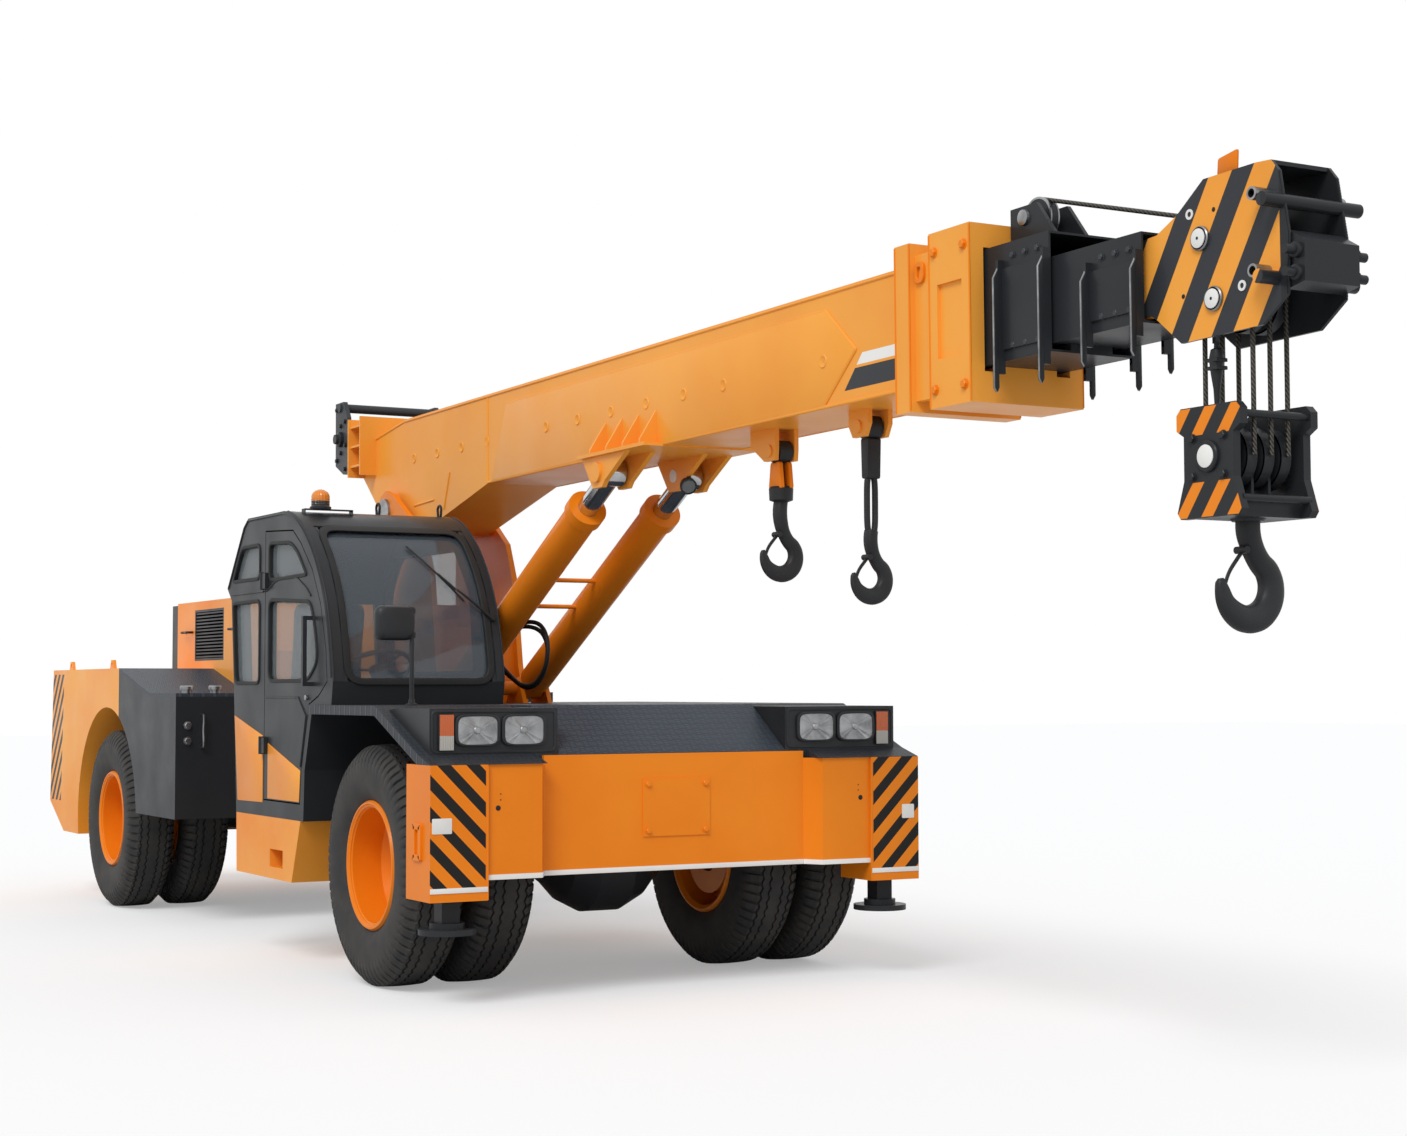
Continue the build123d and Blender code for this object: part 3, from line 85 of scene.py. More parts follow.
def tube(path, radius, sides=12, side=(0, 0, 1), closed=False, flat=1.0):
    # a circle of the given radius, flattened by flat, carried along a path and held square to it
    path = np.asarray(path, float)
    if closed:
        ahead = unit(np.roll(path, -1, 0) - np.roll(path, 1, 0))
    else:
        ahead = unit(np.gradient(path, axis=0))
    across = unit(np.cross(ahead, side))
    up = np.cross(across, ahead)
    angle = np.arange(sides) * 2 * math.pi / sides
    size = np.broadcast_to(np.asarray(radius, float), len(path))[:, None, None]
    ring = np.cos(angle)[None, :, None] * across[:, None] + flat * np.sin(angle)[None, :, None] * up[:, None]
    return loft(path[:, None] + size * ring, wrapRows=closed)


def turned(profile, centre, axis=(0, 1, 0), sides=32, closed=False):
    # a profile of distance along the axis and radius, turned about it: each may hold one value or one for each angle
    angle = np.arange(sides) * 2 * math.pi / sides if np.ndim(sides) == 0 else np.asarray(sides)
    along, radius = (np.array([np.broadcast_to(row[k], len(angle)) for row in profile], float) for k in (0, 1))
    axis = np.asarray(axis, float)
    side = (0, 0, 1) if abs(axis[2]) < 0.9 else (1, 0, 0)
    across = unit(np.cross(axis, side))
    up = np.cross(across, axis)
    out = np.cos(angle)[:, None] * across + np.sin(angle)[:, None] * up
    rings = np.asarray(centre, float) + along[..., None] * axis + radius[..., None] * out
    return loft(rings, wrapRows=closed)


def hoop(centre, axis, along, radii, sides=40):
    # a hollow ring between two places along the axis and two radii
    (low, high), (inner, outer) = along, radii
    return turned([(low, outer), (high, outer), (high, inner), (low, inner)], centre, axis, sides, closed=True)


def softened(outline, radius, steps=5):
    # each corner is replaced by a curve from radius before it to radius after it: the corner pulls a parabola in
    outline = np.asarray(outline, float)
    before, after = np.roll(outline, 1, 0) - outline, np.roll(outline, -1, 0) - outline
    reach = np.minimum(radius, 0.48 * np.minimum(np.linalg.norm(before, axis=1), np.linalg.norm(after, axis=1)))[:, None]
    start, end = outline + unit(before) * reach, outline + unit(after) * reach
    t = np.linspace(0, 1, steps)[None, :, None]
    curve = (1 - t) ** 2 * start[:, None] + 2 * t * (1 - t) * outline[:, None] + t ** 2 * end[:, None]
    return curve.reshape(-1, outline.shape[1])


def drawnIn(outline, amount):
    # each side of a closed outline moves in by amount, its corners along the line that halves them
    after = unit(np.roll(outline, -1, 0) - outline)
    before = np.roll(after, 1, 0)
    inward = [np.stack([-d[:, 1], d[:, 0]], 1) for d in (before, after)]
    share = 1 + (inward[0] * inward[1]).sum(1, keepdims=True)
    return outline + amount * (inward[0] + inward[1]) / np.maximum(share, 0.35)


views = {  # origin, right and up of the planes that outlines are drawn in; they face right times up
    "right": ((0, 0, 0), (1, 0, 0), (0, 0, 1)),
    "front": ((0, 0, 0), (0, 1, 0), (0, 0, 1)),
    "top": ((0, 0, 0), (1, 0, 0), (0, 1, 0)),
    "boom": ((crane["pivot"][0], 0, crane["pivot"][1]), (math.cos(crane["tilt"]), 0, math.sin(crane["tilt"])),
             (-math.sin(crane["tilt"]), 0, math.cos(crane["tilt"]))),
}
views["boomFront"] = (views["boom"][0], (0, 1, 0), views["boom"][2])


def laid(view, points):
    # points as right, up and out of a view, taken to their places on the crane
    origin, right, up = (np.asarray(v, float) for v in views[view])
    points = np.asarray(points, float)
    return origin + points[..., :1] * right + points[..., 1:2] * up + points[..., 2:] * np.cross(right, up)


def rim(outline, amount, height):
    # one ring of a plate: its outline drawn in by amount, at a height over the view's plane
    ring = drawnIn(outline, amount) if amount else np.asarray(outline, float)
    return np.concatenate([ring, np.full((len(ring), 1), height)], 1)


def plate(view, outline, low, high, edge=0.001):
    # a plate of an outline that runs left-handed round, from low to high out of the view's plane, its front edge broken
    rings = [(edge, high), (0.3 * edge, high - 0.3 * edge), (0, high - edge), (0, low)]
    return loft(laid(view, np.array([rim(outline, amount, height) for amount, height in rings])))


def frameRing(view, outline, rings):
    # a closed band round an outline: each ring is a step in from the outline and a height, and the last joins the first
    return loft(laid(view, np.array([rim(outline, amount, height) for amount, height in rings])), wrapRows=True)


def band(view, outline, width, low, high, edge=0.002, drop=0.002):
    # a flat band inside an outline, from low to high, its two front edges broken by edge across and drop down
    rings = [(edge, high), (0, high - drop), (0, low), (width, low), (width, high - drop), (width - edge, high)]
    return frameRing(view, outline, rings)


def box(x, y, z, edge=0.002):
    return plate("top", [(x[0], y[0]), (x[1], y[0]), (x[1], y[1]), (x[0], y[1])], z[0], z[1], edge)


def mirrored(surface):
    # the same surface on the crane's other side: Y changes its sign and the faces run the other way
    points, faces = surface
    return points * (1, -1, 1), [f[:, ::-1] for f in faces]


def both(surfaces):
    return surfaces + [mirrored(s) for s in surfaces]


def hexHead(centre, axis, size=0.012):
    # a hexagon bolt head on its washer: size is half its width over the corners
    washer = turned([(0, 1.25 * size), (0.15 * size, 1.25 * size)], centre, axis, 16)
    head = turned([(0.15 * size, size), (0.75 * size, size), (0.9 * size, 0.85 * size)], centre, axis, 6)
    return [washer, head]


def spaced(path, step):
    # points a step apart along straight runs
    path = np.asarray(path, float)
    length = np.concatenate([[0], np.cumsum(np.linalg.norm(np.diff(path, axis=0), axis=1))])
    at = np.linspace(0, length[-1], max(2, int(round(length[-1] / step)) + 1))
    return np.stack([np.interp(at, length, path[:, k]) for k in range(3)], 1)


def weldBead(path, radius=0.005, side=(0, 1, 0)):
    # a weld bead: a half-sunk tube whose radius swells at each ripple, 9 mm apart
    points = spaced(path, 0.003)
    ripple = 1 + 0.22 * np.abs(np.sin(np.arange(len(points)) * math.pi / 3))
    return tube(points, radius * ripple, 7, side)


def putPiece(name, surfaces, finish, body, replaced=(), sharp=35):
    # one mesh of all the surfaces: it gets its finish, rides on its body and may stand for CAD nodes
    points, groups, count = [], {}, 0
    for own, faceSets in surfaces:
        for faces in faceSets:
            groups.setdefault(faces.shape[1], []).append(faces + count)
        points.append(own)
        count += len(own)
    points = np.concatenate(points) + (crane["axleX"], 0, 0)
    faceSets = [np.concatenate(g) for g in groups.values()]
    corners = np.concatenate([f.ravel() for f in faceSets])
    sizes = np.concatenate([np.full(len(f), f.shape[1]) for f in faceSets])
    mesh = bpy.data.meshes.new(name)
    mesh.vertices.add(len(points))
    mesh.vertices.foreach_set("co", points.ravel())
    mesh.loops.add(len(corners))
    mesh.loops.foreach_set("vertex_index", corners)
    mesh.polygons.add(len(sizes))
    mesh.polygons.foreach_set("loop_start", np.cumsum(sizes) - sizes)
    mesh.update(calc_edges=True)
    mesh.polygons.foreach_set("use_smooth", np.ones(len(sizes), bool))
    mesh.set_sharp_from_angle(angle=math.radians(sharp))
    mesh.materials.append(materials[finish])
    item = bpy.data.objects.new(name, mesh)
    bpy.context.scene.collection.objects.link(item)
    if body:  # a piece given no body is left with none of its own
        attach(item, body)
    if replaced:
        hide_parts(*replaced)
    return item


# colours and shader nodes

def srgb(hexText):
    # sRGB hex to linear colour: each channel is divided by 12.92 near black and raised to 2.4 above
    parts = [int(hexText[i:i + 2], 16) / 255 for i in (0, 2, 4)]
    linear = [p / 12.92 if p <= 0.04045 else ((p + 0.055) / 1.055) ** 2.4 for p in parts]
    return (*linear, 1.0)


def addNode(tree, kind, **settings):
    # one shader node: each setting is an attribute, or an input by name or number that takes a value, a socket or a node
    node = tree.nodes.new("ShaderNode" + kind)
    for key, value in settings.items():
        if hasattr(node, key):
            setattr(node, key, value)
            continue
        socket = node.inputs[int(key[1:]) if key[1:].isdigit() else key.replace("_", " ")]
        if isinstance(value, bpy.types.Node):
            value = value.outputs[2] if value.bl_idname == "ShaderNodeMix" else value.outputs[0]
        if isinstance(value, bpy.types.NodeSocket):
            tree.links.new(value, socket)
        else:
            socket.default_value = value
    return node


def newMaterial(name, **shaderValues):
    # an empty material with its shader, its output and an Object coordinate
    material = bpy.data.materials.new(name)
    material.use_nodes = True
    tree = material.node_tree
    tree.nodes.clear()
    shader = addNode(tree, "BsdfPrincipled", **shaderValues)
    addNode(tree, "OutputMaterial", Surface=shader)
    place = addNode(tree, "TexCoord").outputs["Object"]
    return material, tree, shader, place


def within(tree, value, low, high):
    # 1 where value lies from low to high, else 0
    return addNode(tree, "Math", operation="COMPARE", i0=value, i1=(low + high) / 2, i2=(high - low) / 2)


def allOf(tree, *masks):
    # 1 where every mask is 1
    total = masks[0]
    for mask in masks[1:]:
        total = addNode(tree, "Math", operation="MULTIPLY", i0=total, i1=mask)
    return total


def slantStripes(tree, first, second, slope, pitch, shift, share=0.5):
    # 1 in stripes of first plus slope times second, pitch apart and share of it wide, else 0
    lean = addNode(tree, "Math", operation="MULTIPLY_ADD", i0=second, i1=slope / pitch, i2=shift)
    count = addNode(tree, "Math", operation="MULTIPLY_ADD", i0=first, i1=1 / pitch, i2=lean)
    rest = addNode(tree, "Math", operation="FRACT", i0=count)
    return addNode(tree, "Math", operation="LESS_THAN", i0=rest, i1=share)


paint = {
    "orange": "F28A1E",
    "orangeShade": "E87C12",
    # the next two are the orange made lighter for faces turned to the lamp: painted light
    "litSideOrange": "F9AA44",
    "litSideTone": "F29C38",
    "black": "292B2E",
    "blackShade": "303235",
    "stripe": "201F1E",
    "band": "34363A",
    "white": "EFEFEC",
    "peelSize": 0.005,
    "dustSize": 0.9,
}


def patchy(tree, shader, place, noise, reach, colours):
    # a base colour that goes from one of two shades to the other where a noise lies within reach
    scale, detail = noise
    cloud = addNode(tree, "TexNoise", Vector=place, Scale=scale, Detail=detail)
    film = addNode(tree, "MapRange", Value=cloud, From_Min=reach[0], From_Max=reach[1])
    base = addNode(tree, "Mix", data_type="RGBA", Factor=film, i6=srgb(colours[0]), i7=srgb(colours[1]))
    tree.links.new(base.outputs[2], shader.inputs["Base Color"])
    return cloud, base


def grained(tree, shader, place, scale, detail, depth):
    # a fine even grain that lifts the skin by depth
    grain = addNode(tree, "TexNoise", Vector=place, Scale=scale, Detail=detail)
    bump = addNode(tree, "Bump", Height=grain, Distance=depth)
    tree.links.new(bump.outputs[0], shader.inputs["Normal"])


def enamel(name, colour, shade, roughness=0.32, peel=0.00006, masks=None):
    # two-pack enamel sprayed on steel: glossy, with a fine orange peel, a thin uneven film of dust and duller patches
    # masks adds painted shapes over the base: it gives a mask and a colour for each
    material, tree, shader, place = newMaterial(name, IOR=1.5, Specular_IOR_Level=0.15, Coat_Weight=0.06, Coat_Roughness=0.1)
    base = patchy(tree, shader, place, (1 / paint["dustSize"], 5.0), (0.38, 0.7), (colour, shade))[1]
    if masks:
        split = addNode(tree, "SeparateXYZ", Vector=place)
        for mask, tint in masks(tree, *split.outputs):
            base = addNode(tree, "Mix", data_type="RGBA", Factor=mask, i6=base, i7=srgb(tint))
        tree.links.new(base.outputs[2], shader.inputs["Base Color"])
    patch = addNode(tree, "TexNoise", Vector=place, Scale=4.0, Detail=4.0)
    dull = addNode(tree, "MapRange", Value=patch, From_Min=0.3, From_Max=0.8, To_Min=roughness - 0.04, To_Max=roughness + 0.12)
    tree.links.new(dull.outputs[0], shader.inputs["Roughness"])
    grained(tree, shader, place, 1 / paint["peelSize"], 2.0, peel)
    return material


def bumperMarks(tree, x, y, z):
    # black hazard stripes that fall to the middle on the front faces of the corner boxes
    side = addNode(tree, "Math", operation="ABSOLUTE", i0=y)
    stripes = slantStripes(tree, side, z, -1.0, 0.134, 0.142, 0.48)
    return [(allOf(tree, within(tree, side, 0.993, 1.3), within(tree, x, 1.457, 1.6), within(tree, z, 0.5, 1.06), stripes),
             paint["stripe"])]


def tailMarks(tree, x, y, z):
    # hazard stripes on the sides of the counterweight's tail
    side = addNode(tree, "Math", operation="ABSOLUTE", i0=y)
    stripes = slantStripes(tree, x, z, -0.8, 0.105, 0.3)
    edge = addNode(tree, "Math", operation="MULTIPLY_ADD", i0=z, i1=-0.063, i2=x)
    return [(allOf(tree, within(tree, side, 1.195, 1.3), within(tree, edge, -5.6, -5.20), within(tree, z, 0.62, 1.47), stripes),
             paint["stripe"])]


def boomMeasures(tree, x, z):
    # distance along the boom and square to it, from the lift pin, out of the object's X and Z
    cosine, sine = math.cos(crane["tilt"]), math.sin(crane["tilt"])
    pinX, pinZ = crane["pivot"][0] + crane["axleX"], crane["pivot"][1]
    turnedX = addNode(tree, "Math", operation="MULTIPLY_ADD", i0=x, i1=cosine, i2=-pinX * cosine - pinZ * sine)
    along = addNode(tree, "Math", operation="MULTIPLY_ADD", i0=z, i1=sine, i2=turnedX)
    turnedZ = addNode(tree, "Math", operation="MULTIPLY_ADD", i0=z, i1=cosine, i2=pinX * sine - pinZ * cosine)
    square = addNode(tree, "Math", operation="MULTIPLY_ADD", i0=x, i1=-sine, i2=turnedZ)
    return along, square


def boomMarks(tree, x, y, z):
    # a white band over a dark one on each side of the boom, cut off at a slant, just behind the collar
    along, square = boomMeasures(tree, x, z)
    side = addNode(tree, "Math", operation="ABSOLUTE", i0=y)
    start = addNode(tree, "Math", operation="MULTIPLY_ADD", i0=square, i1=-0.96, i2=along)
    here = allOf(tree, within(tree, side, 0.199, 0.215), within(tree, start, 4.60, 9.0), within(tree, along, 4.5, 5.131))
    return [(allOf(tree, here, within(tree, square, 0.197, 0.240)), paint["white"]),
            (allOf(tree, here, within(tree, square, 0.106, 0.186)), paint["band"])]


def headMarks(tree, x, y, z):
    # dark diagonal stripes on the head's side plates and a black nose, front and top
    along, square = boomMeasures(tree, x, z)
    side = addNode(tree, "Math", operation="ABSOLUTE", i0=y)
    stripes = slantStripes(tree, along, square, -0.62, 0.205, 0.42, 0.48)
    outer = within(tree, side, 0.121, 0.3)
    inner = within(tree, side, -0.1, 0.1235)
    return [(allOf(tree, outer, within(tree, along, 6.3, 7.008), stripes), paint["band"]),
            (allOf(tree, inner, within(tree, along, 6.46, 7.5)), paint["black"]),
            (within(tree, along, 7.008, 7.5), paint["black"])]


def blockMarks(tree, x, y, z):
    # orange stripes on the flared ears of the hook block's cheeks
    side = addNode(tree, "Math", operation="ABSOLUTE", i0=y)
    stripes = slantStripes(tree, x, z, -0.75, 0.118, 0.2, 0.45)
    ears = addNode(tree, "Math", operation="MAXIMUM", i0=within(tree, z, 2.15, 2.237), i1=within(tree, z, 1.893, 2.002))
    return [(allOf(tree, within(tree, side, 0.1595, 0.19), ears, stripes), paint["orange"])]


def chequerPlate(name, colour, shade):
    # rolled chequer plate under paint: raised bars 30 mm long that turn a quarter from one cell to the next
    material, tree, shader, place = newMaterial(name, Roughness=0.42, IOR=1.5, Specular_IOR_Level=0.2)
    split = addNode(tree, "SeparateXYZ", Vector=place)
    cell = 0.034
    across = addNode(tree, "Math", operation="MULTIPLY", i0=split.outputs[0], i1=math.pi / cell)
    along = addNode(tree, "Math", operation="MULTIPLY", i0=split.outputs[1], i1=math.pi / cell)
    waves = {}
    for key, source, share in (("longX", across, 1), ("thinX", across, 3), ("longY", along, 1), ("thinY", along, 3)):
        angle = addNode(tree, "Math", operation="MULTIPLY", i0=source, i1=share)
        wave = addNode(tree, "Math", operation="SINE", i0=angle)
        waves[key] = addNode(tree, "Math", operation="ABSOLUTE", i0=wave)
    cross = addNode(tree, "Math", operation="MULTIPLY", i0=addNode(tree, "Math", operation="SINE", i0=across),
                    i1=addNode(tree, "Math", operation="SINE", i0=along))
    turn = addNode(tree, "Math", operation="GREATER_THAN", i0=cross, i1=0.0)
    first = addNode(tree, "Math", operation="MULTIPLY", i0=waves["longX"], i1=waves["thinY"])
    second = addNode(tree, "Math", operation="MULTIPLY", i0=waves["longY"], i1=waves["thinX"])
    bars = addNode(tree, "Mix", data_type="FLOAT", i0=turn, i2=first, i3=second)
    height = addNode(tree, "MapRange", Value=bars.outputs[0], From_Min=0.45, From_Max=0.8)
    film = addNode(tree, "TexNoise", Vector=place, Scale=2.0, Detail=5.0)
    base = addNode(tree, "Mix", data_type="RGBA", Factor=film.outputs[0], i6=srgb(colour), i7=srgb(shade))
    worn = addNode(tree, "Mix", data_type="RGBA", Factor=height.outputs[0], i6=base, i7=srgb("6C7480"))
    faint = addNode(tree, "Mix", data_type="RGBA", i0=0.2, i6=base, i7=worn)
    tree.links.new(faint.outputs[2], shader.inputs["Base Color"])
    bump = addNode(tree, "Bump", Height=height.outputs[0], Distance=0.002)
    tree.links.new(bump.outputs[0], shader.inputs["Normal"])
    return material


def tyreRubber():
    # vulcanised rubber: dull and nearly black, browner and greyer where the road has scuffed it
    material, tree, shader, place = newMaterial("tyreRubber", Roughness=0.7, IOR=1.5, Specular_IOR_Level=0.4)
    patchy(tree, shader, place, (9.0, 6.0), (0.35, 0.75), ("2A2A2B", "3D3A36"))
    grained(tree, shader, place, 350.0, 3.0, 0.0002)
    return material


def moulded(name, colour, shade, roughness, grain=0.0015, depth=0.0001):
    # a moulded or cast skin: patches of two shades and a fine even grain
    material, tree, shader, place = newMaterial(name, IOR=1.5, Roughness=roughness, Specular_IOR_Level=0.3)
    patchy(tree, shader, place, (6.0, 4.0), (0.3, 0.75), (colour, shade))
    grained(tree, shader, place, 1 / grain, 2.0, depth)
    return material


def machinedSteel(name, colour, stain, roughness):
    # turned and ground steel, a little stained by oil
    material, tree, shader, place = newMaterial(name, Metallic=1.0)
    oil = patchy(tree, shader, place, (16.0, 5.0), (0.35, 0.75), (colour, stain))[0]
    dull = addNode(tree, "MapRange", Value=oil, To_Min=roughness - 0.05, To_Max=roughness + 0.1)
    tree.links.new(dull.outputs[0], shader.inputs["Roughness"])
    return material


def safetyGlass(name, tint, alpha):
    # toughened glass with a grey tint: smooth, with a faint film of dust that dulls it in patches
    material, tree, shader, place = newMaterial(name, IOR=1.5, Base_Color=srgb(tint), Alpha=alpha, Specular_IOR_Level=0.7)
    dust = addNode(tree, "TexNoise", Vector=place, Scale=3.0, Detail=5.0)
    film = addNode(tree, "MapRange", Value=dust, From_Min=0.4, From_Max=0.8, To_Min=0.02, To_Max=0.09)
    tree.links.new(film.outputs[0], shader.inputs["Roughness"])
    return material


def lensPlastic(name, colour, alpha, flute=0.011, lower=None):
    # clear or dyed polycarbonate with moulded flutes, the part under a height in another colour where lower gives both
    material, tree, shader, place = newMaterial(name, Roughness=0.1, IOR=1.58, Base_Color=srgb(colour), Alpha=alpha)
    split = addNode(tree, "SeparateXYZ", Vector=place)
    if lower:
        height, tint = lower
        under = addNode(tree, "Math", operation="LESS_THAN", i0=split.outputs[2], i1=height)
        base = addNode(tree, "Mix", data_type="RGBA", Factor=under, i6=srgb(colour), i7=srgb(tint))
        tree.links.new(base.outputs[2], shader.inputs["Base Color"])
    angle = addNode(tree, "Math", operation="MULTIPLY", i0=split.outputs[1], i1=2 * math.pi / flute)
    wave = addNode(tree, "Math", operation="SINE", i0=angle)
    bump = addNode(tree, "Bump", Height=wave, Distance=0.0008)
    tree.links.new(bump.outputs[0], shader.inputs["Normal"])
    return material


def wireRope():
    # steel rope under grease: strands that wind round it, drawn 16 mm apart so that they show
    material, tree, shader, place = newMaterial("wireRope", Metallic=0.6, Roughness=0.45)
    split = addNode(tree, "SeparateXYZ", Vector=place)
    lean = addNode(tree, "Math", operation="ADD", i0=split.outputs[2], i1=split.outputs[0])
    more = addNode(tree, "Math", operation="ADD", i0=lean, i1=split.outputs[1])
    angle = addNode(tree, "Math", operation="MULTIPLY", i0=more, i1=2 * math.pi / 0.016)
    wave = addNode(tree, "Math", operation="SINE", i0=angle)
    height = addNode(tree, "MapRange", Value=wave, From_Min=-1.0)
    base = addNode(tree, "Mix", data_type="RGBA", Factor=height.outputs[0], i6=srgb("26241F"), i7=srgb("5A5650"))
    tree.links.new(base.outputs[2], shader.inputs["Base Color"])
    bump = addNode(tree, "Bump", Height=height.outputs[0], Distance=0.001)
    tree.links.new(bump.outputs[0], shader.inputs["Normal"])
    return material


def seatCloth():
    # woven nylon seat cloth over foam: a fine basket weave of threads, drawn 3 mm apart
    material, tree, shader, place = newMaterial("seatCloth", Roughness=0.85, IOR=1.45, Sheen_Weight=0.3)
    weave = addNode(tree, "TexVoronoi", Vector=place, Scale=330.0)
    base = addNode(tree, "Mix", data_type="RGBA", Factor=weave.outputs[0], i6=srgb("202226"), i7=srgb("3A3C42"))
    tree.links.new(base.outputs[2], shader.inputs["Base Color"])
    bump = addNode(tree, "Bump", Height=weave.outputs[0], Distance=0.0004)
    tree.links.new(bump.outputs[0], shader.inputs["Normal"])
    return material


materials = {
    "orange": enamel("orangeEnamel", paint["orange"], paint["orangeShade"]),
    # the hood, boom, tail and head enamels below use the lighter copy of the orange: painted light on the sides that
    # face the lamp
    "litSidePaint": enamel("litSideHoodEnamel", paint["litSideOrange"], paint["orange"]),
    "bumper": enamel("bumperEnamel", paint["orange"], paint["orangeShade"], masks=bumperMarks),
    "boom": enamel("boomEnamel", paint["litSideOrange"], paint["litSideTone"], masks=boomMarks),
    "tail": enamel("tailEnamel", paint["litSideOrange"], paint["orange"], masks=tailMarks),
    "head": enamel("headEnamel", paint["litSideOrange"], paint["litSideTone"], masks=headMarks),
    "block": enamel("blockEnamel", paint["black"], paint["blackShade"], 0.36, masks=blockMarks),
    "black": enamel("blackEnamel", paint["black"], paint["blackShade"], 0.34),
    "grey": enamel("greyEnamel", "3A3D41", "45494D", 0.42),
    "white": enamel("whiteEnamel", paint["white"], "DFDFDC", 0.38),
    "slate": chequerPlate("slateChequerPlate", "2F363F", "39414B"),
    "chequer": chequerPlate("blackChequerPlate", "26292D", "31353A"),
    "steel": machinedSteel("groundSteel", "A6A8AA", "727375", 0.34),
    "chrome": machinedSteel("hardChrome", "D6D8DA", "B4B6B8", 0.12),
    "forged": moulded("forgedBlackHook", "1D1E20", "2A2B2D", 0.48, 0.006, 0.0005),
    "rubber": tyreRubber(),
    "seal": moulded("sealRubber", "1A1B1C", "242526", 0.6),
    "plastic": moulded("blackPlastic", "222426", "2D2F32", 0.42),
    "glass": safetyGlass("tintedGlass", "55606A", 0.42),
    "clearGlass": safetyGlass("clearGlass", "98A2A6", 0.3),
    "lens": lensPlastic("clearLens", "F4F6F7", 0.07),
    "indicator": lensPlastic("indicatorLens", "D4611C", 0.92, 0.008, (1.162, "BDBAB2")),
    "amber": lensPlastic("amberDome", "EE8A1A", 0.9, 0.016, (2.312, "1D1D1E")),
    "cloth": seatCloth(),
    "rope": wireRope(),
}
print("materials made:", len(materials))

finishOf = {
    "front_deck": "slate", "rear_deck": "slate", "front_fenders": "chequer", "front_bumper": "bumper",
    "windscreen": "glass", "fixed_windows": "clearGlass", "door_windows": "clearGlass", "indicators": "indicator",
    "beacon": "amber", "mirror": "plastic", "lamp_housings": "plastic", "steering_column": "plastic",
    "seat_cushions": "cloth", "lift_rods": "chrome", "lift_pin": "steel", "articulation_pin": "steel",
    "winch_drum": "steel", "hoist_ropes": "rope", "head_sheaves": "grey", "engine": "grey", "winch_frame": "grey",
    "boom_base": "boom", "counterweight": "tail", "boom_section_four": "head", "hook_block": "block",
    "main_hook": "forged", "swivel_hook": "forged", "link_hook": "forged", "headlamps": "lens",
}
for name in ("mast", "ram_feet", "lift_barrels"):
    finishOf[name] = "orange"
# the boxes and the hood take the lighter copy of the orange: painted light
for name in ("step_box", "side_box", "engine_hood"):
    finishOf[name] = "litSidePaint"
for side in ("front_right", "front_left", "rear_right", "rear_left"):
    finishOf[side + "_tyres"] = "rubber"
    finishOf[side + "_rims"] = "orange"

for name, item in nodes.items():
    item.data.materials.clear()
    item.data.materials.append(materials[finishOf.get(name, "black")])
print("finishes given to the CAD nodes")


def smoothed(points, steps=8):
    # a cubic through the points: each one's slope is its neighbours' difference over the way between them
    points = np.asarray(points, float)
    gap = np.linalg.norm(np.diff(points, axis=0), axis=1)
    at = np.concatenate([[0], np.cumsum(gap)])
    slope = np.gradient(points, at, axis=0, edge_order=2) if len(points) > 2 else np.repeat(np.diff(points, axis=0) / gap, 2, 0)
    t = (np.arange(steps) / steps)[None, :, None]
    p, q, m, n, h = points[:-1, None], points[1:, None], slope[:-1, None], slope[1:, None], gap[:, None, None]
    curve = ((2 * t ** 3 - 3 * t ** 2 + 1) * p + (t ** 3 - 2 * t ** 2 + t) * h * m
             + (3 * t ** 2 - 2 * t ** 3) * q + (t ** 3 - t ** 2) * h * n)
    return np.concatenate([curve.reshape(-1, points.shape[1]), points[-1:]])


# wheels

tyre = {
    "halfWidth": 0.145,
    "middle": 0.4265,  # the radius at which the tyre is widest
    "upper": 0.1285,  # from there out to the shoulder, and in to the bead
    "lower": 0.17,
    "halfTread": 0.115,
    "crown": 0.006,
    "grooveDepth": 0.011,
    "zigzag": 0.006,
    "notches": 70,
    "notchDepth": 0.011,
    "centres": (1.043, 0.698),
}


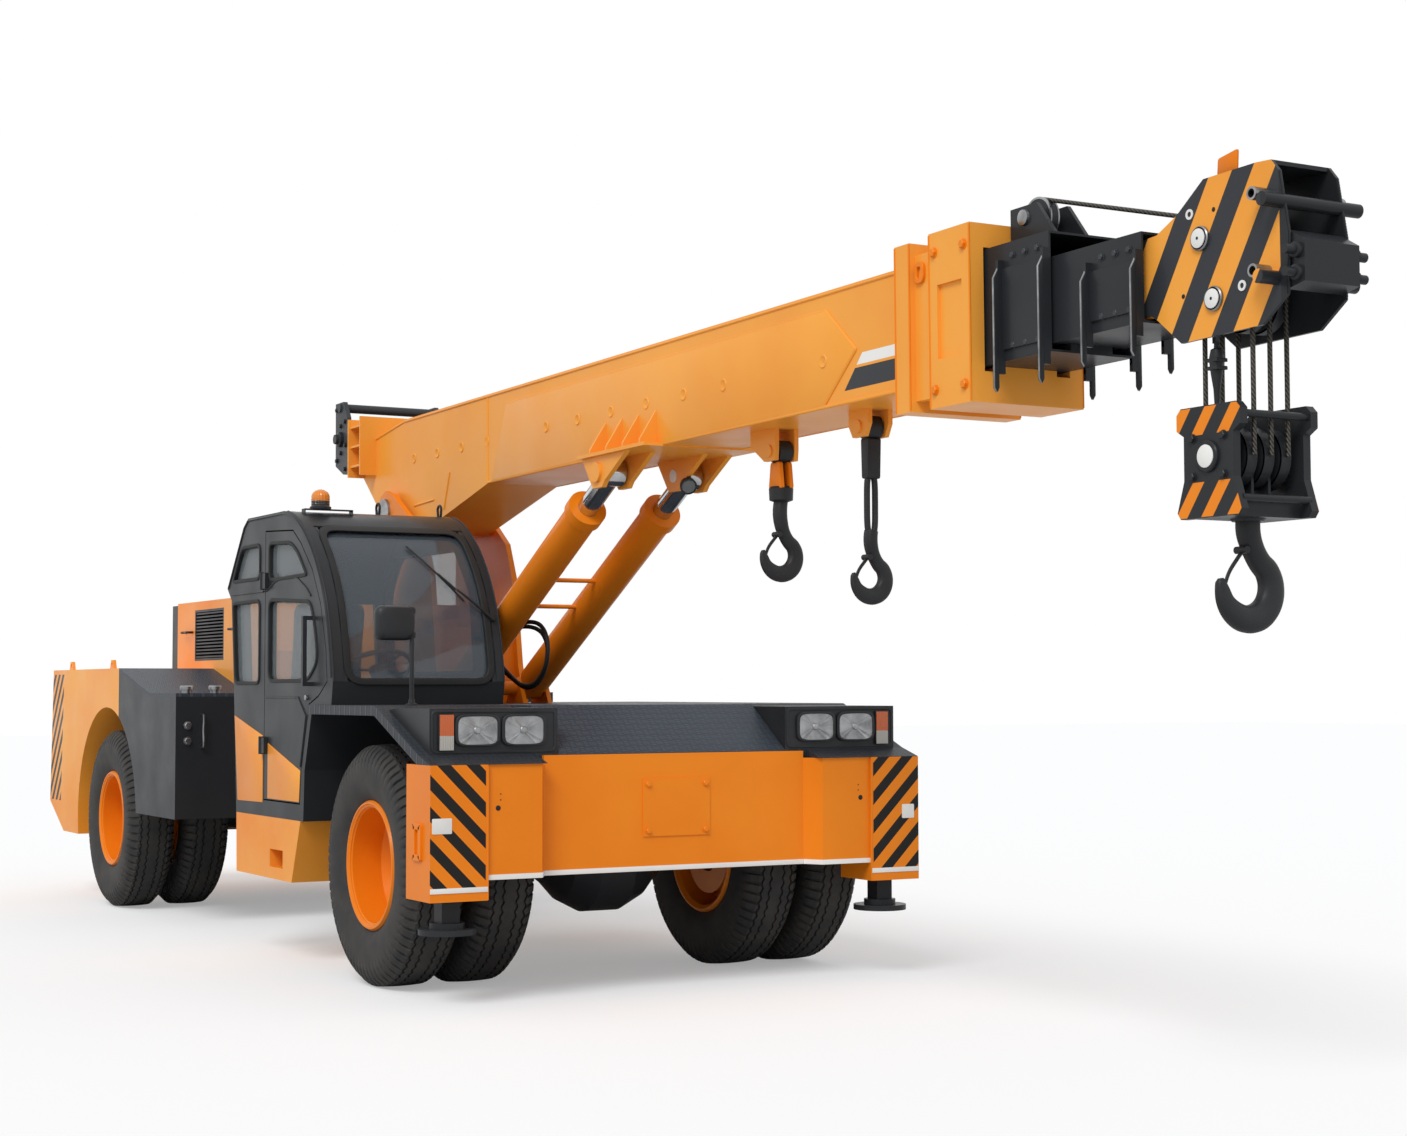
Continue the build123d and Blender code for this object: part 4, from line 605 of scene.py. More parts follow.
def tyreSurface(axle, middle):
    # the section is a superellipse on each side of a crowned tread: y = w cos^p, r = middle + half height sin^p
    # two zigzag grooves run round it, and notches cut its shoulders, deepest at the tread's edge
    step = np.array([0, 0.32, 0.40, 0.60, 0.68])
    cut = np.tile([0.0, 0.0, 1.0, 1.0, 0.0], tyre["notches"])
    swing = np.tile(1 - 4 * np.abs(step - 0.5), tyre["notches"]) * tyre["zigzag"]
    angles = ((np.arange(tyre["notches"])[:, None] + step).ravel()) * 2 * math.pi / tyre["notches"]
    y = np.array([0, 0.0295, 0.031, 0.039, 0.0405, 0.0725, 0.074, 0.082, 0.0835, 0.096])
    deep = np.array([0, 0, 1, 1, 0, 0, 1, 1, 0, 0]) * tyre["grooveDepth"]
    crown = crane["tyreRadius"] - tyre["crown"] * (y / tyre["halfTread"]) ** 2 - deep
    tread = np.stack([y[:, None] + swing * ((y > 0.02) & (y < 0.09))[:, None], np.broadcast_to(crown[:, None], (10, len(angles)))])
    tread[1, -1] -= tyre["notchDepth"] * cut
    turn = np.radians([50, 42, 34, 26, 18, 10, 0])
    fade = np.array([1, 1, 0.95, 0.8, 0.5, 0, 0])[:, None] * tyre["notchDepth"] * cut
    shoulder = np.stack([tyre["halfWidth"] * np.cos(turn) ** 0.625, tyre["middle"] + tyre["upper"] * np.sin(turn) ** 0.625])
    shoulder = shoulder[..., None] - fade * np.stack([np.cos(turn), np.sin(turn)])[..., None]
    fall = np.radians([14, 26, 37, 46.7])
    lower = np.stack([tyre["halfWidth"] * np.cos(fall) ** 0.833, tyre["middle"] - tyre["lower"] * np.sin(fall) ** 0.833])
    bead = np.concatenate([lower, [[0.100, 0.090], [0.290, 0.281]]], 1)[..., None]
    half = np.concatenate([tread, shoulder, np.broadcast_to(bead, (2, 6, len(angles)))], 1)
    other = half[:, :0:-1] * np.array([-1, 1])[:, None, None]
    profile = np.concatenate([other, half], 1).transpose(1, 0, 2)
    return turned(profile, (axle, middle, crane["tyreRadius"]), (0, 1, 0), angles, closed=True)


boltRings = {  # radius of the ring, how many, distance from the middle of the crane and size
    "nuts": (0.146, 10, 0.8905, 0.017),
    "cap": (0.062, 8, 0.9905, 0.009),
}
lockRing = {"ring": 0.2745, "face": 1.1545, "radius": 0.0065}


def roundAbout(axle, radius, count, y):
    angle = np.arange(count) * 2 * math.pi / count
    return np.stack([axle + radius * np.cos(angle), np.full(count, y), crane["tyreRadius"] + radius * np.sin(angle)], 1)


for end, axle in (("front", 0.0), ("rear", crane["rearAxleX"])):
    for side, sign in (("right", -1), ("left", 1)):
        name = f"{end}_{side}"
        surfaces = [tyreSurface(axle, sign * y) for y in tyre["centres"]]
        putPiece(name + "_treaded_tyres", surfaces, "rubber", name + "_wheel", [name + "_tyres"], 40)
        nuts = [s for ring, count, face, size in boltRings.values() for c in roundAbout(axle, ring, count, sign * face)
                for s in hexHead(c, (0, sign, 0), size)]
        lockPath = roundAbout(axle, lockRing["ring"], 96, sign * lockRing["face"])
        nuts.append(tube(lockPath, lockRing["radius"], 10, (0, 1, 0), closed=True))
        putPiece(name + "_wheel_nuts", nuts, "orange", name + "_wheel")
print("tyres and wheel nuts made")


# bumper

bumper = {
    "face": 0.9335,  # the front of the corner boxes and of the number plates' place
    "stripHeight": 0.022,
    "plateNear": (-1.242, -1.151),
    "plateFar": (1.155, 1.223),
    "plateZ": (0.749, 0.815),
    "hole": (-0.930, 0.852),
    "loop": ((0.757, 0.850), (0.630, 0.790)),
}


def rectangle(right, up):
    return np.array([(right[0], up[0]), (right[1], up[0]), (right[1], up[1]), (right[0], up[1])])


def disc(centre, axis, radius, thick, sides=24):
    return turned([(0, radius), (thick * 0.7, radius), (thick, radius * 0.94)], centre, axis, sides)


tall, face = bumper["stripHeight"], bumper["face"]
corner = plate("front", rectangle((-1.2495, -0.984), (0.497, 0.497 + tall)), face, face + 0.004)
panelPath = [(0.919, -0.983), (0.923, -0.983), (0.923, -0.7185), (0.833, -0.6685), (0.829, -0.671), (0.919, -0.7205)]
panel = plate("top", panelPath, 0.5455, 0.5455 + tall)
centre = plate("front", rectangle((-0.668, 0.668), (0.5455, 0.5455 + tall)), 0.8295, 0.833)
whites = both([corner, panel]) + [centre]
for span in (bumper["plateNear"], bumper["plateFar"]):
    whites.append(plate("front", softened(rectangle(span, bumper["plateZ"]), 0.006), face, face + 0.004))
putPiece("bumper_white_strips", whites, "white", "chassis")

# flat dark discs where the bumper has holes: painted shade inside the holes
holeY, holeZ = bumper["hole"]
holes = [disc((0.9205, sign * holeY, holeZ), (1, 0, 0), 0.0115, 0.0012) for sign in (1, -1)]
holes += [disc((0.9205, sign * (holeY + 0.012), holeZ + z), (1, 0, 0), 0.003, 0.0008) for sign in (1, -1) for z in (0.035, 0.06)]
putPiece("bumper_hole_shadows", holes, "seal", "chassis")

coverBolts = [s for y in (-0.155, 0.140) for z in (0.725, 0.935) for s in hexHead((0.836, y, z), (1, 0, 0), 0.013)]
handle = band("right", softened(rectangle(*bumper["loop"]), 0.012), 0.027, 1.2495, 1.262)
seams = [weldBead([(0.934, sign * 0.983, 0.462), (0.934, sign * 0.983, 1.033)], 0.003, (0, 1, 0)) for sign in (1, -1)]
putPiece("bumper_fittings", coverBolts + [handle] + seams, "orange", "chassis")
print("bumper strips made")


# headlamps: a faceted bowl, a bulb cap and a clear lens in a dark rounded bezel

headlamp = {
    "halfWidth": 0.0945,
    "halfHeight": 0.062,
    "middleZ": 1.184,
    "middles": (0.7565, 0.978),
    "floor": 0.8012,
    "front": 0.8125,
    "facetStep": 0.0022,
    "back": 0.7995,  # the lamp housing's face, which the bezels stand on
}
bezelBands = (  # Y and Z of each bezel round a housing, its corners' reach, its width, its front and its edges
    ((0.596, 1.194), (1.086, 1.274), 0.03, 0.012, 0.8045, 0.002),
    ((1.0895, 1.1615), (1.0965, 1.2565), 0.008, 0.005, 0.8135, 0.001),
)


def lampRing(middle, share, x, sides=64):
    # a superellipse of the fifth power: y and z are the half sizes times cosine and sine raised to two fifths
    angle = (np.arange(sides) + 0.5) * 2 * math.pi / sides
    bend = [np.sign(f(angle)) * np.abs(f(angle)) ** 0.42 for f in (np.cos, np.sin)]
    y = middle + share * headlamp["halfWidth"] * bend[0]
    z = headlamp["middleZ"] + share * headlamp["halfHeight"] * bend[1]
    return np.stack([np.broadcast_to(x, sides), y, z], 1)


def lampBowl(middle):
    # the bowl deepens with the square of the way in, with a step from one facet to the next
    share = np.repeat(np.linspace(0.05, 0.98, 14), 2)
    light = 0.5 + 0.5 * np.sign(np.sin(np.arange(64) * math.pi / 4 + 0.3))
    facet = np.tile([0.0, headlamp["facetStep"]], 14)[:, None] * light[None, :]
    depth = headlamp["floor"] + (headlamp["front"] - headlamp["floor"] - headlamp["facetStep"]) * share[:, None] ** 2 + facet
    rings = [lampRing(middle, s + 0.004 * (k % 2), depth[k]) for k, s in enumerate(share)]
    rings += [lampRing(middle, 1.0, headlamp["front"]), lampRing(middle, 1.0, 0.8002)]
    return loft(np.array(rings))


def lampLens(middle):
    share = np.array([0.05, 0.3, 0.55, 0.75, 0.9, 0.97, 1.0])
    rings = [lampRing(middle, s, 0.8132 + 0.0022 * (1 - s ** 4)) for s in share] + [lampRing(middle, 1.0, 0.8126)]
    return loft(np.array(rings))


def lampBezel(middle):
    rings = [(1.10, 0.8142), (1.13, 0.8120), (1.13, 0.8000), (0.985, 0.8000), (0.985, 0.8142), (1.02, 0.8150)]
    return loft(np.array([lampRing(middle, share, x) for share, x in rings]), wrapRows=True)


lampMiddles = [sign * y for sign in (1, -1) for y in headlamp["middles"]]
putPiece("headlamp_bowls", [lampBowl(m) for m in lampMiddles], "steel", "chassis", ["headlamps"], 20)
putPiece("headlamp_lenses", [lampLens(m) for m in lampMiddles], "lens", "chassis")
bulbCap = [(0, 0.017), (0.004, 0.017), (0.0085, 0.013), (0.0100, 0.005)]
caps = [turned(bulbCap, (headlamp["floor"], m, headlamp["middleZ"]), (1, 0, 0), 24) for m in lampMiddles]
putPiece("headlamp_bulb_caps", caps, "steel", "chassis")
bezels = [lampBezel(m) for m in lampMiddles]
for sign in (1, -1):
    for y, z, reach, width, front, edge in bezelBands:
        outline = softened(rectangle(sorted(sign * k for k in y), z), reach)
        bezels.append(band("front", outline, width, headlamp["back"], front, edge, 0.0015))
putPiece("lamp_bezels", bezels, "plastic", "chassis")
print("headlamps made")


# cab

cab = {
    "arc": ((-0.345, 1.400), (-0.385, 1.600), (-0.455, 1.800), (-0.580, 1.990), (-0.760, 2.150), (-0.900, 2.225), (-1.120, 2.2625)),
    "screenY": (-1.145, -0.395),
    "screenZ": (1.400, 2.165),
    "sealWidth": 0.034,
    "sealReach": 0.016,  # how far the seal stands over the opening's edge
    "cornerReach": 0.10,
    "pillarWidth": 0.056,
    "mouldingY": -1.2215,
}
doorHigh = [(-1.285, 1.925), (-0.720, 1.925), (-0.860, 2.045), (-0.965, 2.095), (-1.285, 2.110)]
doorLow = [(-1.285, 1.410), (-0.700, 1.410), (-0.560, 1.500), (-0.590, 1.640), (-0.660, 1.790), (-1.285, 1.820)]
rearHigh = [(-1.880, 1.940), (-1.440, 1.940), (-1.440, 2.110), (-1.740, 2.110)]
rearLow = [(-1.830, 1.400), (-1.440, 1.400), (-1.440, 1.820), (-1.880, 1.820)]
leftPane = [(-1.800, 1.450), (-0.640, 1.450), (-0.700, 1.850), (-0.900, 2.080), (-1.700, 2.080), (-1.860, 1.880)]
frontArc = smoothed(cab["arc"], 16)
arcAhead = unit(np.gradient(frontArc, axis=0))
arcOut = np.stack([arcAhead[:, 1], -arcAhead[:, 0]], 1)


def arcX(z, lift):
    # X of the cab's front surface at height z, moved out square to it by lift
    moved = frontArc + arcOut * np.asarray(lift)
    return np.interp(z, moved[:, 1], moved[:, 0])


def arcSheet(y, z, lifts, steps=48):
    # a sheet of the front surface from y[0] to y[1] and z[0] to z[1], between two lifts
    height = np.linspace(z[0], z[1], steps)
    outer, inner = arcX(height, lifts[1]), arcX(height, lifts[0])
    ring = [np.stack([x, np.full(steps, across), height], 1) for x, across in
            ((outer, y[1]), (outer, y[0]), (inner, y[0]), (inner, y[1]))]
    return loft(np.stack(ring, 1))


def arcBand(outline, rings):
    # a closed band round an outline of Y and Z on the front surface: each ring is a step in and a lift
    made = []
    for amount, lift in rings:
        ring = drawnIn(outline, amount) if amount else outline
        made.append(np.stack([arcX(ring[:, 1], lift), ring[:, 0], ring[:, 1]], 1))
    return loft(np.array(made), wrapRows=True)


def evenly(outline, count):
    # a closed outline again, with count points the same way apart
    looped = np.concatenate([outline, outline[:1]])
    at = np.concatenate([[0], np.cumsum(np.linalg.norm(np.diff(looped, axis=0), axis=1))])
    where = np.linspace(0, at[-1], count, endpoint=False)
    return np.stack([np.interp(where, at, looped[:, k]) for k in (0, 1)], 1)


def windowSeal(outline, wall, reach=0.055):
    outer = softened(drawnIn(np.asarray(outline), -0.012), reach, 7)
    return frameRing("right", outer, [(0.003, wall + 0.006), (0, wall + 0.003), (0, wall - 0.004), (0.019, wall - 0.016),
                                      (0.019, wall + 0.002), (0.015, wall + 0.006)])


(right, left), (low, high) = cab["screenY"], cab["screenZ"]
pane = arcSheet((right + 0.002, left - 0.002), (low + 0.003, high - 0.003), (-0.024, -0.016))
putPiece("curved_windscreen", [pane], "glass", "chassis", ["windscreen"])

grow, width = cab["sealReach"], cab["sealWidth"]
sealOuter = evenly(softened(rectangle((right - grow, left + grow), (low - grow, high + grow)), cab["cornerReach"], 9), 260)
screenSeal = arcBand(sealOuter, [(0.003, 0.0055), (0, 0.002), (0, -0.008), (width, -0.017), (width, 0.001), (width - 0.004, 0.0055),
                                 (width * 0.55, 0.0062)])
wallRight, wallLeft = -crane["cabRight"], crane["cabLeft"]
doorSeals = [windowSeal(doorHigh, wallRight), windowSeal(doorLow, wallRight, 0.07)]
cabSeals = [screenSeal, windowSeal(rearHigh, wallRight), windowSeal(rearLow, wallRight),
            mirrored(windowSeal(leftPane, wallLeft, 0.08))]
putPiece("door_window_seals", doorSeals, "seal", "cab_door")
putPiece("cab_window_seals", cabSeals, "seal", "chassis")

side, skin = cab["pillarWidth"], cab["mouldingY"]
pillars = [arcSheet((-1.2212, -1.2212 + side), (1.402, 2.2622), (-0.012, 0.0015), 70),
           arcSheet((-0.3288 - side + 0.012, -0.3288), (1.402, 2.2622), (-0.012, 0.0015), 70),
           arcSheet((-1.2200, -0.330), (2.172, 2.2620), (-0.012, 0.0008), 20)]
height = np.linspace(1.402, 2.258, 60)
pillars += [tube(np.stack([arcX(height, 0.0025), np.full(60, y), height], 1), 0.0045, 8, (0, 1, 0)) for y in (-1.2165, -0.3335)]
gutter = smoothed([(-0.362, 1.420), (-0.398, 1.600), (-0.468, 1.800), (-0.592, 1.985), (-0.770, 2.142), (-0.905, 2.214),
                   (-1.120, 2.250)], 8)
gutter = np.concatenate([gutter, [(-1.640, 2.250), (-1.702, 2.214), (-1.965, 1.905)]])
pillars.append(tube(np.stack([gutter[:, 0], np.full(len(gutter), skin), gutter[:, 1]], 1), 0.0055, 8, (0, 1, 0)))
pillars.append(tube([(-1.905, skin, 1.868), (-1.375, skin, 1.868)], 0.0045, 8, (0, 1, 0)))
putPiece("cab_pillar_mouldings", pillars, "black", "chassis")

waist = smoothed([(-1.33, skin, 1.868), (-0.74, skin, 1.868), (-0.66, skin, 1.82)], 5)
sill = [(x, -1.2212, z) for x, z in ((-1.335, 1.325), (-0.83, 1.325), (-0.715, 1.235), (-0.792, 0.985))]
putPiece("door_mouldings", [tube(waist, 0.0045, 8, (0, 1, 0)), tube(sill, 0.005, 8, (0, 1, 0))], "black", "cab_door")

panels = {
    "door_orange_panel": ("cab_door", [(-1.289, 0.812), (-0.812, 0.812), (-0.796, 0.966), (-1.289, 1.093)]),
    "cab_orange_panel": ("chassis", [(-1.776, 0.784), (-1.368, 0.789), (-1.368, 1.128), (-1.837, 1.228)]),
}
# the panels take the lighter copy of the orange: painted light
for name, (body, outline) in panels.items():
    putPiece(name, [plate("right", softened(outline, 0.004, 3), 1.2195, 1.2225)], "litSidePaint", body)

putPiece("door_lock", [disc((-0.700, -1.2205, 1.325), (0, -1, 0), 0.014, 0.012)], "steel", "cab_door")

wiper = {"pivot": (-0.366, 1.706), "elbow": (-0.534, 1.855), "tip": (-0.720, 2.075), "heel": (-0.500, 1.800)}


def overGlass(start, end, lift, steps=16):
    y, z = (np.linspace(start[k], end[k], steps) for k in (0, 1))
    return np.stack([arcX(z, lift), y, z], 1)


wiperParts = [turned([(0, 0.020), (0.022, 0.018), (0.028, 0.010)], (-0.432, *wiper["pivot"]), (0.9, 0, 0.436), 20),
              tube(overGlass(wiper["pivot"], wiper["elbow"], 0.020), np.linspace(0.008, 0.005, 16), 8),
              tube(overGlass(wiper["heel"], wiper["tip"], -0.006), 0.007, 8, flat=0.7),
              tube(overGlass(wiper["elbow"], (-0.610, 1.935), 0.006), 0.0055, 8)]
putPiece("wiper", wiperParts, "seal", "chassis")

roofEye = {"places": ((-1.157, -0.684), (-1.135, -0.350)), "radius": 0.024, "wire": 0.0065, "base": 2.258}
eyes = []
turn = np.linspace(-0.25, math.pi + 0.25, 22)
for x, y in roofEye["places"]:
    wide, foot = roofEye["radius"], (y, roofEye["base"] - 0.004)
    arch = np.stack([x + wide * np.cos(turn), np.full(22, y), roofEye["base"] + 0.044 + wide * np.sin(turn)], 1)
    legs = np.concatenate([[(x + 0.012, *foot)], arch, [(x - 0.012, *foot)]])
    eyes.append(tube(smoothed(legs, 3), roofEye["wire"], 10, (0, 1, 0)))
putPiece("roof_lifting_eyes", eyes, "black", "chassis")

beacon = {"middle": (-0.980, -1.060, 0), "radius": 0.047, "standX": (-1.005, -0.955), "rib": 0.0015}
standBoxes = (((-1.150, -0.895), (2.266, 2.271)), ((-1.150, -1.146), (2.236, 2.268)), ((-0.899, -0.895), (2.236, 2.268)))
stand = [box(beacon["standX"], y, z, 0.001) for y, z in standBoxes]
stand.append(turned([(2.2705, 0.054), (2.281, 0.054), (2.2845, 0.050)], beacon["middle"], (0, 0, 1), 40))
putPiece("beacon_stand", stand, "black", "chassis")
ribs = [2.2845, 2.292, 2.294, 2.300, 2.302, 2.308, 2.310, 2.316, 2.318, 2.325]
domeProfile = [(z, beacon["radius"] - beacon["rib"] * (k % 2)) for k, z in enumerate(ribs)]
domeProfile += [(2.334, 0.0463), (2.345, 0.0435), (2.355, 0.0375), (2.363, 0.028), (2.369, 0.015), (2.371, 0.004)]
putPiece("beacon_dome", [turned(domeProfile, beacon["middle"], (0, 0, 1), 48)], "amber", "chassis", ["beacon"], 50)

mirror = {"middle": (0.178, -1.115, 1.667), "half": (0.095, 0.080), "depth": 0.055, "stalk": (0.180, -1.032), "foot": 1.288}


def mirrorHead():
    # a rounded rectangle that shrinks towards its back like a shallow dish: shares of its size and of its depth
    shares = [(0.4, -0.5), (0.7, -0.49), (0.88, -0.40), (0.97, -0.2), (1.0, 0.10), (1.0, 0.40), (0.97, 0.48), (0.90, 0.5)]
    (x, y, z), (halfY, halfZ) = mirror["middle"], mirror["half"]
    outline = softened(rectangle((-halfY, halfY), (-halfZ, halfZ)), 0.045, 7)
    rings = [np.stack([np.full(len(outline), x - depth * mirror["depth"]), share * outline[:, 0] + y, share * outline[:, 1] + z], 1)
             for share, depth in shares]
    return loft(np.array(rings))


x, y = mirror["stalk"]
mirrorParts = [mirrorHead(), tube(spaced([(x, y, mirror["foot"]), (x, y, 1.74)], 0.05), 0.011, 14, (0, 1, 0)),
               turned([(0, 0.030), (0.006, 0.030), (0.012, 0.016), (0.03, 0.014)], (x, y, 1.2895), (0, 0, 1), 24)]
mirrorParts += [box((0.160, 0.196), (-1.060, -1.020), z, 0.003) for z in ((1.60, 1.625), (1.71, 1.735))]
putPiece("mirror_head", mirrorParts, "plastic", "chassis", ["mirror"])
print("cab glass, seals, panels, beacon and mirror made")


# inside the cab

steering = {
    "wheel": (-0.930, -0.775, 1.466),
    "normal": (-0.5, 0, 0.866),
    "across": (0.866, 0, 0.5),
    "radius": 0.178,
    "rim": 0.0125,
    "spokes": (0.5, 2.6, 4.71),
    "column": ((-0.868, 0.762), (-0.872, 1.10), (-0.895, 1.36), (-0.915, 1.440)),
}
middle, normal, across = (np.array(steering[key]) for key in ("wheel", "normal", "across"))


def onWheel(angle):
    # a place on the steering wheel's rim
    return middle + steering["radius"] * (np.cos(angle) * across + np.sin(angle) * np.array([0, 1, 0]))


column = [tube(onWheel(np.arange(64)[:, None] * 2 * math.pi / 64), steering["rim"], 12, normal, closed=True),
          turned([(-0.05, 0.030), (-0.01, 0.040), (0.008, 0.038), (0.014, 0.02)], middle, normal, 28)]
for angle in steering["spokes"]:
    column.append(tube(spaced([middle - 0.008 * normal, onWheel(angle)], 0.03), 0.009, 8, normal, flat=0.6))
column.append(tube(smoothed([(x, middle[1], z) for x, z in steering["column"]], 6), 0.036, 18, (0, 1, 0)))
column.append(box((-0.99, -0.80), (-0.86, -0.69), (0.760, 0.80), 0.01))
putPiece("steering_wheel", column, "plastic", "chassis", ["steering_column"])
dashOutline = softened([(-0.66, 1.292), (-0.42, 1.292), (-0.405, 1.372), (-0.52, 1.385), (-0.63, 1.36)], 0.02)
leverY, knob = (-0.47, -0.50, -0.53), [(0, 0.008), (0.012, 0.016), (0.028, 0.016), (0.038, 0.006)]
levers = [tube(smoothed([(-1.18, y, 1.10), (-1.15, y, 1.30), (-1.13, y, 1.40)], 4), 0.007, 8, (0, 1, 0)) for y in leverY]
knobs = [turned(knob, (-1.13, y, 1.395), (0, 0, 1), 16) for y in leverY]
console = [plate("right", dashOutline, 0.42, 1.14, 0.004), box((-1.35, -1.08), (-0.56, -0.44), (0.760, 1.12), 0.012)]
putPiece("cab_console", console + levers + knobs, "plastic", "chassis")

seat = {"pressure": 4.0, "voxel": 0.006, "cap": 0.012, "frames": 20, "round": 0.05, "crown": 0.010}


def pad(centre, half, lean=0.0):
    # a crowned block: each level is a rounded rectangle, smaller at the top and bottom by a quarter circle
    outline = softened(rectangle((-half[0], half[0]), (-half[1], half[1])), 0.07, 6)
    rings = []
    for angle in np.radians([90, 65, 40, 15, -15, -40, -65, -90]):
        x, y = drawnIn(outline, seat["round"] * (1 - math.cos(angle))).T
        z = half[2] * math.sin(angle) + seat["crown"] * max(0.0, math.sin(angle))
        leant = np.stack([x * math.cos(lean) + z * math.sin(lean), y, z * math.cos(lean) - x * math.sin(lean)], 1)
        rings.append(leant + centre)
    return loft(np.array(rings))


def inflated(item):
    # the pad is remeshed finely and swells as cloth under pressure, and no point may move further than the cap
    bpy.context.view_layer.update()
    remesh = item.modifiers.new("remesh", "REMESH")
    remesh.mode = "VOXEL"
    remesh.voxel_size = seat["voxel"]
    graph = bpy.context.evaluated_depsgraph_get()
    fine = bpy.data.meshes.new_from_object(item.evaluated_get(graph))
    item.modifiers.clear()
    item.data = fine
    start = np.empty(len(fine.vertices) * 3)
    fine.vertices.foreach_get("co", start)
    cloth = item.modifiers.new("cloth", "CLOTH")
    cloth.settings.use_pressure = True
    cloth.settings.uniform_pressure_force = seat["pressure"]
    cloth.settings.effector_weights.gravity = 0
    scene = bpy.context.scene
    for step in range(1, seat["frames"] + 1):
        scene.frame_set(step)
    graph = bpy.context.evaluated_depsgraph_get()
    swollen = bpy.data.meshes.new_from_object(item.evaluated_get(graph))
    end = np.empty(len(swollen.vertices) * 3)
    swollen.vertices.foreach_get("co", end)
    moved = (end - start).reshape(-1, 3)
    far = np.linalg.norm(moved, axis=1, keepdims=True)
    held = start.reshape(-1, 3) + moved * np.minimum(1, seat["cap"] / np.maximum(far, 1e-9))
    swollen.vertices.foreach_set("co", held.ravel())
    item.modifiers.clear()
    item.data = swollen
    scene.frame_set(1)
    swollen.polygons.foreach_set("use_smooth", np.ones(len(swollen.polygons), bool))
    swollen.update()


seatPads = {
    "seat_bottom_pad": pad((-1.420, -0.775, 1.2355), (0.228, 0.218, 0.045)),
    "seat_back_pad": pad((-1.652, -0.775, 1.568), (0.270, 0.205, 0.038), math.radians(98.0)),
}
for name, surface in seatPads.items():
    replaced = ["seat_cushions"] if name == "seat_bottom_pad" else ()
    item = putPiece(name, [surface], "cloth", "chassis", replaced, 60)
    inflated(item)
print("seat and controls made")


# boom

boom = {
    "doubler": [(1.365, 0.062), (4.560, 0.068), (4.790, 0.258), (4.575, 0.440), (1.540, 0.440)],
    "doublerThick": 0.008,
    "doublerX": -0.78,  # the doubler reaches forward from here
    "half": 0.200,
    "seams": (((1.30, 0.058), (5.12, 0.058)), ((-0.34, 0.448), (0.15, 0.506)), ((0.16, 0.506), (5.12, 0.506)),
              ((0.72, -0.035), (0.80, 0.16)), ((0.30, 0.02), (0.58, 0.03)), ((5.128, 0.02), (5.128, 0.51)),
              ((1.30, 0.060), (1.30, 0.50))),
    "dimpleRadius": 0.023,
    "dimpleZ": 2.647,
    "dimples": (-1.860, -1.527, -1.194, -0.861, -0.130, 0.220, 0.570, 0.920, 1.270, 1.620, 2.410),
}


def onBoom(u, v, y=0.0):
    return laid("boom", np.array([[u, v, -y]]))[0]


def boomPath(points, y):
    return laid("boom", np.array([(u, v, -y) for u, v in points]))


half, thick = boom["half"], boom["doublerThick"]
sideParts = [plate("boom", boom["doubler"], half - 0.0005, half + thick, 0.004),
             weldBead(boomPath(boom["doubler"] + boom["doubler"][:1], -half - 0.001), 0.0055)]
sideParts += [tube(boomPath(line, -half - 0.0005), 0.0058, 8, (0, 1, 0)) for line in boom["seams"]]
dimple = [(along, boom["dimpleRadius"] + more) for along, more in ((0, 0.005), (0.0045, 0.001), (0.0040, -0.002), (0.0006, -0.007))]
for x in boom["dimples"]:
    wall = half + (thick if x > boom["doublerX"] else 0)
    sideParts.append(turned(dimple + [(0.0004, 0.002)], (x, -wall + 0.0004, boom["dimpleZ"]), (0, -1, 0), 28))
sideParts.append(plate("boom", rectangle((1.34, 5.12), (0.0555, 0.068)), half - 0.001, half + 0.006, 0.002))
putPiece("boom_side_plates", both(sideParts), "boom", "boom")

collar = {
    "half": 0.250,
    "bolts": ((5.385, 0.520), (5.565, 0.520), (5.385, 0.020), (5.565, 0.020)),
    "edges": ((5.352, -0.04, 0.588), (5.598, -0.04, 0.588), (5.223, -0.034, 0.580), (5.132, -0.034, 0.580)),
    "lug": ((5.235, 5.295), (0.430, 0.510)),
    "boltY": (-0.16, -0.08, 0.08, 0.16),
}
half = collar["half"]
collarParts = [s for u, v in collar["bolts"] for s in hexHead(onBoom(u, v, -half), (0, -1, 0), 0.016)]
collarParts += [tube(boomPath([(u, low), (u, high)], -half), 0.004, 8, (0, 1, 0)) for u, low, high in collar["edges"]]
collarParts.append(band("boom", softened(rectangle(*collar["lug"]), 0.03), 0.018, 0.222, 0.238))
topBolts = [s for y in collar["boltY"] for s in hexHead(onBoom(5.475, 0.594, y), views["boom"][2], 0.016)]
putPiece("collar_fittings", both(collarParts) + topBolts, "orange", "boom")

whiteCaps = [disc((0.570, y, 2.362), (0, -1, 0), 0.032, 0.006) for y in (-0.2775, 0.1225)]
putPiece("ram_pin_caps", whiteCaps, "white", "boom")
workLamp = {
    "place": (0.700, 0.130, 2.305),
    "aim": (0.85, -0.25, -0.46),
    "body": [(-0.05, 0.014), (-0.045, 0.026), (-0.02, 0.037), (0.004, 0.040), (0.008, 0.040), (0.008, 0.034), (0.004, 0.033)],
    "lens": [(0.0045, 0.0325), (0.008, 0.031), (0.011, 0.022), (0.013, 0.004)],
}
lampBody, lampGlass = (turned(workLamp[key], workLamp["place"], unit(np.array(workLamp["aim"])), 28) for key in ("body", "lens"))
lampStalk = box((0.672, 0.700), (0.124, 0.144), (2.30, 2.375), 0.003)
putPiece("boom_lamp_body", [lampBody, lampStalk], "plastic", "boom")
putPiece("boom_lamp_lens", [lampGlass], "clearGlass", "boom")

